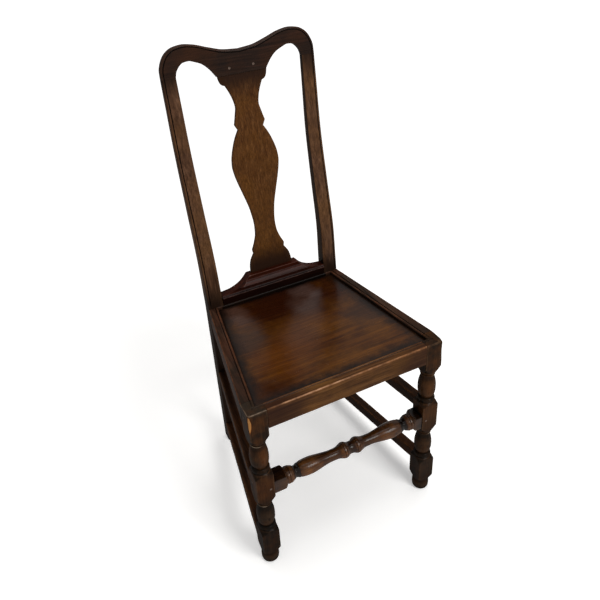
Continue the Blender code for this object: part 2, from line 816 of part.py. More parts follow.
def join_seat_frame(side, leg, post, rail, front, rear):
    low = RAIL_BOTTOM + RAIL_TENON_MARGIN
    high = SEAT_HEIGHT - RAIL_TENON_MARGIN
    length = RAIL_TENON_LENGTH
    thick = RAIL_TENON_THICKNESS
    inset = RAIL_TENON_INSET
    slope = SEAT_FALL_SHARE
    ends = ((LEG_SQUARE - length, LEG_SQUARE + OVERLAP, leg),)
    ends += ((SEAT_DEPTH - OVERLAP, SEAT_DEPTH + length, post),)
    for near, far, holder in ends:
        make = along_side(near, far, low, high, seat_x, inset, thick, slope, side)
        join(rail, holder, make)
    start = LEG_INNER - OVERLAP
    make = across(start, LEG_INNER + length, inset, inset + thick, low, high, slope, side)
    join(front, leg, make)
    start = POST_INNER - OVERLAP
    near = SEAT_DEPTH + inset
    end = POST_INNER + REAR_TENON_LENGTH
    make = across(start, end, near, near + thick, low, high, slope, side)
    join(rear, post, make)


def join_side_stretcher(side, stretcher, leg, post, bottom, share):
    low = bottom + STRETCHER_TENON_MARGIN
    high = bottom + SIDE_STRETCHER_HEIGHT - STRETCHER_TENON_MARGIN
    length = STRETCHER_TENON_LENGTH
    thick = STRETCHER_TENON_THICKNESS
    inset = STRETCHER_TENON_INSET
    ends = ((LEG_SQUARE - length, LEG_SQUARE + OVERLAP, leg),)
    ends += ((SEAT_DEPTH - OVERLAP, SEAT_DEPTH + length, post),)
    for near, far, holder in ends:
        make = along_side(near, far, low, high, stretcher_x, inset, thick, share, side)
        join(stretcher, holder, make)


def join_front_stretcher(side, stretcher, leg):
    half_z = FRONT_TENON_HEIGHT / 2
    half_y = STRETCHER_TENON_THICKNESS / 2
    start = LEG_INNER - OVERLAP
    end = LEG_INNER + FRONT_TENON_LENGTH
    low = FRONT_STRETCHER_AXIS - half_z
    high = FRONT_STRETCHER_AXIS + half_z
    near = HALF_SQUARE - half_y
    join(stretcher, leg, across(start, end, near, HALF_SQUARE + half_y, low, high, 0, side))


def join_rear_stretcher(side, stretcher, post):
    bottom = REAR_STRETCHER_BOTTOM + STRETCHER_TENON_MARGIN
    top = REAR_STRETCHER_BOTTOM + SIDE_STRETCHER_HEIGHT - STRETCHER_TENON_MARGIN
    start = post_inner(top) - OVERLAP
    end = post_inner(top) + FRONT_TENON_LENGTH
    spare = (REAR_STRETCHER_THICKNESS - STRETCHER_TENON_THICKNESS) / 2
    near = SEAT_DEPTH + REAR_STRETCHER_SET_BACK + spare
    far = near + STRETCHER_TENON_THICKNESS
    join(stretcher, post, across(start, end, near, far, bottom, top, 0, side))


def join_crest(side, post, crest):
    """Tenon on the post's top, drawn in the crest's leaning frame."""
    middle = side * (POST_TOP_OUTER - POST_TOP_WIDTH / 2)
    half = CREST_TENON_WIDTH / 2
    near = (CREST_THICKNESS - BACK_TENON_THICKNESS) / 2
    low = (middle - half, near, -OVERLAP)
    high = (middle + half, near + BACK_TENON_THICKNESS, CREST_TENON_LENGTH)
    join(post, crest, lambda name, grow: grown_box(name, low, high, grow, CREST_PLACE))


def join_splat(board, shoe, crest, place, length):
    """Tenons at both ends of the splat, drawn in its own leaning frame."""
    half = SPLAT_TENON_HALF_WIDTH
    near = (SPLAT_THICKNESS - BACK_TENON_THICKNESS) / 2
    far = near + BACK_TENON_THICKNESS
    for bottom, top, holder in (
        (-SHOE_TENON_LENGTH, OVERLAP, shoe),
        (length - OVERLAP, length + SPLAT_TENON_LENGTH, crest),
    ):
        low = (-half, near, bottom)
        high = (half, far, top)
        join(board, holder, lambda name, grow: grown_box(name, low, high, grow, place))


def peg_rail_and_side_stretcher(side, title, leg, rail, stretcher):
    """Pegs driven in from the outer side of a front leg."""
    inwards = Matrix.Rotation(-side * math.pi / 2, 4, "Y")
    height = SEAT_HEIGHT - RAIL_PEG_DROP
    place = Matrix.Translation((side * FRONT_WIDTH / 2, RAIL_PEG_DEPTH, height))
    peg(title + "_seat_rail_peg", place @ inwards, PEG_LENGTH, BLIND_SPARE, (leg, rail))
    height = UPPER_STRETCHER_BOTTOM + SIDE_STRETCHER_HEIGHT / 2
    place = Matrix.Translation((side * FRONT_WIDTH / 2, SIDE_PEG_DEPTH, height))
    name = title + "_side_stretcher_peg"
    peg(name, place @ inwards, PEG_LENGTH, BLIND_SPARE, (leg, stretcher))


def peg_front_stretcher(side, title, leg, stretcher):
    """Peg driven in from the front face of a leg."""
    height = FRONT_STRETCHER_AXIS + FRONT_PEG_RISE
    place = Matrix.Translation((side * (LEG_INNER + FRONT_PEG_INSET), 0, height))
    length = HALF_SQUARE + PEG_LENGTH / 2
    name = title + "_front_stretcher_peg"
    peg(name, place @ BACKWARDS, length, BLIND_SPARE, (leg, stretcher))


def peg_splat(side, title, crest, board):
    """Peg through the crest and the tenon on the splat's head."""
    spot = (side * SPLAT_PEG_SPACING / 2, 0, SPLAT_PEG_RISE - CREST_DROP)
    place = CREST_PLACE @ Matrix.Translation(spot) @ BACKWARDS
    length = CREST_THICKNESS - 2 * CLEARANCE
    peg(title + "_splat_peg", place, length, OVERRUN, (crest, board))


def build_chair():
    crest = crest_rail()
    place, length = splat_place()
    board = splat(place, length)
    shoe = splat_shoe()
    front = front_rail()
    rear = rear_rail()
    recess = board_recess()
    seat_board()
    stretcher = front_stretcher()
    rear_bar = rear_stretcher()
    boolean(front, recess, "DIFFERENCE")
    boolean(rear, recess, "DIFFERENCE")
    join_splat(board, shoe, crest, place, length)
    levels = (
        ("upper", UPPER_STRETCHER_BOTTOM, UPPER_FALL_SHARE),
        ("lower", LOWER_STRETCHER_BOTTOM, LOWER_FALL_SHARE),
    )
    for title, side in (("left", -1), ("right", 1)):
        leg = front_leg(title + "_front_leg", side)
        post = rear_post(title + "_rear_post", side)
        rail = side_rail(title + "_seat_rail", side)
        boolean(leg, recess, "DIFFERENCE")
        boolean(rail, recess, "DIFFERENCE")
        join_seat_frame(side, leg, post, rail, front, rear)
        join_front_stretcher(side, stretcher, leg)
        join_rear_stretcher(side, rear_bar, post)
        join_crest(side, post, crest)
        sides = {}
        for level, bottom, share in levels:
            item = side_stretcher(f"{title}_{level}_stretcher", side, bottom, share)
            join_side_stretcher(side, item, leg, post, bottom, share)
            sides[level] = item
        peg_rail_and_side_stretcher(side, title, leg, rail, sides["upper"])
        peg_front_stretcher(side, title, leg, stretcher)
        peg_splat(side, title, crest, board)


build_chair()
bpy.context.view_layer.update()
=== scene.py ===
import bpy
import math
from mathutils import Matrix, Vector, noise


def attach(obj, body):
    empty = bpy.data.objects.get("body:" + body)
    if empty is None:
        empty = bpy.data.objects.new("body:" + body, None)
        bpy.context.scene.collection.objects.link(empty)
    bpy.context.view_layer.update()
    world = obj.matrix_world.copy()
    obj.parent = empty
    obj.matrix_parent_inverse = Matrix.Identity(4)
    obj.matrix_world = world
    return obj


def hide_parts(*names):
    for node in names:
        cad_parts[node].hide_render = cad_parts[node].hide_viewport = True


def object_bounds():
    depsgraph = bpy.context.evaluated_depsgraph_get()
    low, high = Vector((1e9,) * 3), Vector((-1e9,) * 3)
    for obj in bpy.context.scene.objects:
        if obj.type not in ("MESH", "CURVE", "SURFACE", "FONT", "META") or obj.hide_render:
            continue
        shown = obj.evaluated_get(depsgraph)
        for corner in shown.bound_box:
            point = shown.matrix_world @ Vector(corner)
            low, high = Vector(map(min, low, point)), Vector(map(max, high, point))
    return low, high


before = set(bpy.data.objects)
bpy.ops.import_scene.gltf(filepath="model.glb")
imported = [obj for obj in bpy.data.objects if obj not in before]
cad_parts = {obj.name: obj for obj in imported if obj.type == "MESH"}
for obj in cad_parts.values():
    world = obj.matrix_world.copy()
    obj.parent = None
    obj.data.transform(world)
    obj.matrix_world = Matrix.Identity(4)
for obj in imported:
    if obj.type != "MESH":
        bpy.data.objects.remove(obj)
cadLow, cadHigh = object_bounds()
frontY = cadLow.y  # world Y of the front legs' faces, the chair's own zero of depth
print("frame loaded", len(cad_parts), "nodes")

# The chair as a whole, in metres. Depth runs backwards from the front legs' faces.
chair = {
    "seatHeight": 0.4694,
    "seatFall": 0.05,      # the seat drops this share of its depth to the back
    "frontHalf": 0.225,
    "rearHalf": 0.1739,
    "seatDepth": 0.3744,
    "railHeight": 0.0504,
    "frontRim": 0.024,
    "legSquare": 0.0408,
    "sideRim": 0.0217,     # width of the frame beside the board, at the board's back
    "sideRimFront": 0.027,
    "rearRim": 0.003,      # the board runs back almost to the shoe
    "ledge": 0.010,
    "boardDrop": 0.007,
    "boardThick": 0.012,
    "gap": 0.0003,         # shrinkage gap between pieces
}
rearSeat = chair["seatHeight"] - chair["seatFall"] * chair["seatDepth"]    # seat level at the posts
splay = (chair["frontHalf"] - chair["rearHalf"]) / (chair["seatDepth"] - chair["legSquare"])
boardBack = chair["seatDepth"] - chair["rearRim"]
ledgeDrop = chair["boardDrop"] + chair["boardThick"] + chair["gap"]
mm = 0.001


def seatLevel(depth):
    # height of the seat frame's top, which falls to the back
    return chair["seatHeight"] - chair["seatFall"] * depth


# shape helpers

def throughPoints(table):
    # smooth curve through (position, value) points that never overshoots them
    xs, ys = [p[0] for p in table], [p[1] for p in table]
    steps = [(ys[i + 1] - ys[i]) / (xs[i + 1] - xs[i]) for i in range(len(xs) - 1)]
    slopes = [steps[0]]
    for a, b in zip(steps, steps[1:]):
        slopes.append(0 if a * b <= 0 else 2 * a * b / (a + b))
    slopes.append(steps[-1])

    def value(x):
        x = min(max(x, xs[0]), xs[-1])
        i = 0
        while i < len(xs) - 2 and x > xs[i + 1]:
            i += 1
        h = xs[i + 1] - xs[i]
        t = (x - xs[i]) / h
        return ((1 + 2 * t) * (1 - t) ** 2 * ys[i] + t * (1 - t) ** 2 * h * slopes[i]
                + t * t * (3 - 2 * t) * ys[i + 1] + t * t * (t - 1) * h * slopes[i + 1])
    return value


def withCorners(table):
    # the same, but with a corner at each point that is marked with a third value
    runs = [[table[0][:2]]]
    for point in table[1:]:
        runs[-1].append(point[:2])
        if len(point) > 2 and point is not table[-1]:
            runs.append([point[:2]])
    curves = [(run[0][0], run[-1][0], throughPoints(run)) for run in runs]

    def value(x):
        for low, high, curve in curves:
            if x <= high:
                return curve(x)
        return curves[-1][2](x)
    return value


def smallest(values, power):
    # the least of several distances, eased where two are nearly equal: a worn arris
    return sum(v ** -power for v in values) ** (-1 / power)


def fade(x, low, high):
    t = min(max((x - low) / (high - low), 0), 1)
    return t * t * (3 - 2 * t)


def between(low, high, count):
    return [low + (high - low) * i / (count - 1) for i in range(count)]


def rough(point, size, amount):
    # slow unevenness of a surface worked by hand
    return noise.noise(Vector(point) / size) * amount


def loft(node, rings, finish, sharp=38):
    # skins a list of closed rings of points and closes both ends
    count = len(rings[0])
    last = (len(rings) - 1) * count
    faces = []
    for a in range(0, last, count):
        for k in range(count):
            n = (k + 1) % count
            faces.append((a + k, a + n, a + count + n, a + count + k))
    faces.append(tuple(reversed(range(count))))
    faces.append(tuple(range(last, last + count)))
    return makePiece(node, [p for ring in rings for p in ring], faces, finish, sharp)


def makePiece(node, points, faces, finish, sharp):
    # a point is across, depth, height, how worn it is, and on the legs how bare it is; above 1 the wear value
    # is a painted highlight, and below 0 it blackens grooves and on some faces paints shade
    mesh = bpy.data.meshes.new(node + "_oak")
    mesh.from_pydata([(x, y + frontY, z) for x, y, z, *marks in points], [], faces)
    mesh.update()
    corners = mesh.vertices
    volume = sum(
        corners[f.vertices[0]].co.dot(corners[f.vertices[i]].co.cross(corners[f.vertices[i + 1]].co))
        for f in mesh.polygons for i in range(1, len(f.vertices) - 1)
    )
    if volume < 0:
        mesh.flip_normals()
    for place, title in enumerate(("wearAndLight", "bare")[:len(points[0]) - 3], 3):
        layer = mesh.attributes.new(title, "FLOAT", "POINT")
        layer.data.foreach_set("value", [p[place] for p in points])
    mesh.shade_smooth()
    mesh.set_sharp_from_angle(angle=math.radians(sharp))
    mesh.materials.append(finishes[finish])
    piece = bpy.data.objects.new(node + "_oak", mesh)
    bpy.context.scene.collection.objects.link(piece)
    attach(piece, "root")
    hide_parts(node)


def seatX(depth):
    # outer face of the side rails, which run back from the legs' rear outer corners
    return chair["frontHalf"] - splay * (depth - chair["legSquare"])


recess = {
    "front": seatX(chair["frontRim"]) - chair["sideRimFront"],
    "back": seatX(boardBack) - chair["sideRim"],
}
recess["slope"] = (recess["front"] - recess["back"]) / (boardBack - chair["frontRim"])


def recessX(depth):
    # side of the opening that holds the board
    return recess["front"] - recess["slope"] * (depth - chair["frontRim"])


# materials

def linear(hexColour):
    def one(pair):
        c = int(pair, 16) / 255
        return c / 12.92 if c <= 0.04045 else ((c + 0.055) / 1.055) ** 2.4
    return (one(hexColour[1:3]), one(hexColour[3:5]), one(hexColour[5:7]), 1)


def emptyTree(owner):
    # node tree of a material or of the world, with nothing in it
    owner.use_nodes = True
    owner.node_tree.nodes.clear()
    return owner.node_tree


def addNode(tree, kind, inputs, stops=(), **settings):
    # adds one node with its settings, values and links; inputs are by name or place, or a list in
    # their order, and a node given as an input links its first output
    node = tree.nodes.new("ShaderNode" + kind)
    for key, value in settings.items():
        setattr(node, key, value)
    for key, value in inputs.items() if isinstance(inputs, dict) else enumerate(inputs):
        if isinstance(value, bpy.types.Node):
            value = value.outputs[0]
        if isinstance(value, bpy.types.NodeSocket):
            tree.links.new(value, node.inputs[key])
        else:
            node.inputs[key].default_value = value
    for _ in stops[2:]:
        node.color_ramp.elements.new(0.5)
    for i, (place, colour) in enumerate(stops):
        node.color_ramp.elements[i].position = place
        node.color_ramp.elements[i].color = colour
    return node


# how each piece's grain runs: turn its length onto the pattern's X
grainTurns = {
    "across": (0, 0, 0),
    "back": (0, 0, math.radians(-90)),
    "up": (0, math.radians(90), 0),
}

# what every look has unless it says otherwise; sizes in mm, shares from 0 to 1
usualOak = {
    "wander": 12, "driftSize": 143,         # how far and how slowly the grain strays from straight
    "ringWidth": 6, "ringLength": 280,
    "lineWidth": 2.4, "lineLength": 130,    # grain lines, drawn wider than life so that they show
    "poreWidth": 0.9, "poreLength": 22,     # open pores, drawn about twice as wide as life
    "patchSize": 77, "smudgeSize": 18,
    "lineDepth": 0.35, "warmth": 0.6, "poreShare": 0.5,
    "dirtAndShade": 0.85, "dirtAndShadeReach": 20, "wearAndLight": 0.6, "highlightTone": "#b89c86",
    "specular": 0.0, "wax": 0.07, "waxRoughness": 0.25, "glossVary": 0.06,
    "bump": 0.30, "bumpHeight": 0.6, "unevenness": 0.8,
    "darkened": "#120b07", "darkens": [], "stainsAndReflections": [], "bare": "#b9824a", "bareEdge": "#7e431b",
    "edgeGrime": None,
}


def agedOak(name, ownLook):
    # Oak, sawn, planed or turned, then waxed for centuries: dark brown with finer dark grain
    # lines, warm patches, blackened hollows and paler, glossier edges where hands rub it.
    look = {**usualOak, **ownLook}
    material = bpy.data.materials.new(name)
    tree = emptyTree(material)
    place = addNode(tree, "TexCoord", []).outputs["Object"]
    axes = addNode(tree, "SeparateXYZ", [place]).outputs
    turned = addNode(tree, "Mapping", [place, look["shift"], grainTurns[look["grain"]]])
    # the grain wanders off straight over a hand's length
    drift = addNode(tree, "TexNoise", {
        "Vector": turned, "Scale": 1 / (look["driftSize"] * mm), "Detail": 1.0}).outputs["Color"]
    offset = addNode(tree, "VectorMath", [drift, (0.5, 0.5, 0.5)], operation="SUBTRACT")
    offset = addNode(tree, "VectorMath", {0: offset, "Scale": look["wander"] * mm}, operation="SCALE")
    wavy = addNode(tree, "VectorMath", [turned, offset], operation="ADD")
    streaks = {}
    for kind, detail in (("ring", 2.0), ("line", 2.0), ("pore", 1.0)):
        across = 1 / (look[kind + "Width"] * mm)
        stretch = (1 / (look[kind + "Length"] * mm), across, across)
        stretched = addNode(tree, "VectorMath", [wavy, stretch], operation="MULTIPLY")
        streaks[kind] = addNode(tree, "TexNoise", {
            "Vector": stretched, "Scale": 1.0, "Detail": detail, "Roughness": 0.55})
    patches, smudges = (addNode(tree, "TexNoise", {
        "Vector": turned, "Scale": 1 / (look[size] * mm), "Detail": 3.0, "Roughness": roughness})
        for size, roughness in (("patchSize", 0.55), ("smudgeSize", 0.6)))

    # the colour is laid on in layers, each with its share and tone, from the wood outwards
    colour = addNode(tree, "ValToRGB", [streaks["ring"]], stops=[
        (0.30, linear(look["dark"])), (0.52, linear(look["mid"])), (0.72, linear(look["light"]))])
    layers = [(addNode(tree, "MapRange", [patches, 0.42, 0.68, 0.0, look["warmth"]]), look["warm"])]
    # where the object tells the colour: round stains and patches of painted reflection, and further on
    # one-sided darkening
    ragged = addNode(tree, "Math", [patches, 0.5], operation="SUBTRACT")
    for centre, radii, share, tone in look["stainsAndReflections"]:
        away = addNode(tree, "VectorMath", [place, centre], operation="SUBTRACT")
        away = addNode(tree, "VectorMath", [away, radii], operation="DIVIDE")
        away = addNode(tree, "VectorMath", [away], operation="LENGTH").outputs["Value"]
        away = addNode(tree, "Math", [ragged, 1.6, away], operation="MULTIPLY_ADD")
        layers.append((addNode(tree, "MapRange", [away, 1.15, 0.25, 0.0, share],
                               interpolation_type="SMOOTHSTEP"), tone))
    depth = look["lineDepth"]
    shade = addNode(tree, "MapRange", [streaks["line"], 0.30, 0.70, 1 - depth, 1 + depth])
    lines = addNode(tree, "CombineXYZ", [shade, shade, shade])
    layers.append((1.0, lines))
    layers.append((addNode(tree, "MapRange", [streaks["pore"], 0.60, 0.70, 0.0, look["poreShare"]]),
                   look["pore"]))

    # old wax and dirt settle in hollows and beside neighbouring pieces; this occlusion mask also paints shade
    # into them
    hollow = addNode(tree, "AmbientOcclusion", {
        "Distance": look["dirtAndShadeReach"] * mm}, samples=8).outputs["AO"]
    dirtAndShade = addNode(tree, "MapRange", [hollow, 0.35, 0.95, look["dirtAndShade"], 0.0])
    uneven = addNode(tree, "MapRange", [smudges, 0.25, 0.60, 0.7, 1.0])
    dirtAndShade = addNode(tree, "Math", [dirtAndShade, uneven], operation="MULTIPLY")
    if look["edgeGrime"]:
        rimShade = look["edgeGrime"](tree, axes, smudges)
        dirtAndShade = addNode(tree, "Math", [dirtAndShade, rimShade], operation="MAXIMUM")
    layers.append((dirtAndShade, look["sootAndShade"]))
    for spread, axis, fadeStart, fadeFull, amount in look["darkens"]:
        along = addNode(tree, "Math", [ragged, spread, axes[axis]], operation="MULTIPLY_ADD")
        layers.append((addNode(tree, "MapRange", [along, fadeStart, fadeFull, 0.0, amount],
                               interpolation_type="SMOOTHSTEP"), look["darkened"]))

    # handled edges lose their dark skin and grooves fill with black wax; wear above 1 adds a painted
    # highlight, and wear below 0 also paints shade on some faces
    worn = addNode(tree, "Attribute", [], attribute_name="wearAndLight").outputs["Fac"]
    filledAndShaded = addNode(tree, "Math", [worn, -0.9], operation="MULTIPLY", use_clamp=True)
    patchy = addNode(tree, "MapRange", [smudges, 0.38, 0.66, 0.35, 1.25])
    patchyWear = addNode(tree, "Math", [worn, patchy], operation="MULTIPLY")
    rubbed = addNode(tree, "Math", [patchyWear, look["wearAndLight"]], operation="MULTIPLY", use_clamp=True)
    over = addNode(tree, "Math", [worn, 1.0], operation="SUBTRACT")
    highlight = addNode(tree, "Math", [over, patchy], operation="MULTIPLY", use_clamp=True)
    layers += [(filledAndShaded, look["sootAndShade"]), (rubbed, look["worn"]), (highlight, look["highlightTone"])]
    bare = addNode(tree, "Attribute", [], attribute_name="bare").outputs["Fac"]
    for start, tone in ((0.0, "bareEdge"), (0.45, "bare")):
        layers.append((addNode(tree, "MapRange", [bare, start, start + 0.3, 0.0, 1.0]), look[tone]))
    for share, tone in layers:
        grained = tone is lines     # the grain lines only darken and lighten what lies under them
        colour = addNode(tree, "Mix", {0: share, 6: colour, 7: lines if grained else linear(tone)},
                         data_type="RGBA", blend_type="MULTIPLY" if grained else "MIX").outputs[2]

    gloss = addNode(tree, "MapRange", [
        smudges, 0.30, 0.70, look["roughness"] - look["glossVary"], look["roughness"] + look["glossVary"]])
    gloss = addNode(tree, "Math", [dirtAndShade, 0.18, gloss], operation="MULTIPLY_ADD")
    gloss = addNode(tree, "Math", [rubbed, -0.06, gloss], operation="MULTIPLY_ADD", use_clamp=True)
    relief = addNode(tree, "Math", [streaks["pore"], -0.6, streaks["line"]], operation="MULTIPLY_ADD")
    relief = addNode(tree, "Math", [smudges, look["unevenness"], relief], operation="MULTIPLY_ADD")
    bump = addNode(tree, "Bump", {
        "Height": relief, "Strength": look["bump"], "Distance": look["bumpHeight"] * mm})
    shader = addNode(tree, "BsdfPrincipled", {
        "Base Color": colour, "Roughness": gloss, "Normal": bump,
        "IOR": 1.5, "Specular IOR Level": look["specular"],
        "Coat Weight": look["wax"], "Coat Roughness": look["waxRoughness"]})
    addNode(tree, "OutputMaterial", [shader])
    return material


def boardEdgeGrime(tree, axes, smudges):
    # the board is dark in a band beside the rim, where the cloth never reaches, narrower at the back
    depth = addNode(tree, "Math", [axes[1], frontY], operation="SUBTRACT")
    side = addNode(tree, "Math", [depth, -recess["slope"], recessX(0)], operation="MULTIPLY_ADD")
    across = addNode(tree, "Math", [axes[0]], operation="ABSOLUTE")
    fromSide = addNode(tree, "Math", [side, across], operation="SUBTRACT")
    fromFront = addNode(tree, "Math", [depth, chair["frontRim"]], operation="SUBTRACT")
    fromBack = addNode(tree, "Math", [boardBack, depth], operation="SUBTRACT")
    fromBack = addNode(tree, "Math", [fromBack, 2.2], operation="MULTIPLY")
    nearest = addNode(tree, "Math", [fromFront, fromBack], operation="MINIMUM")
    nearest = addNode(tree, "Math", [nearest, fromSide], operation="MINIMUM")
    uneven = addNode(tree, "Math", [smudges, 0.5], operation="SUBTRACT")
    ragged = addNode(tree, "Math", [uneven, 0.030, nearest], operation="MULTIPLY_ADD")
    return addNode(tree, "MapRange", [ragged, 0.002, 0.034, 0.95, 0.0], interpolation_type="SMOOTHSTEP")


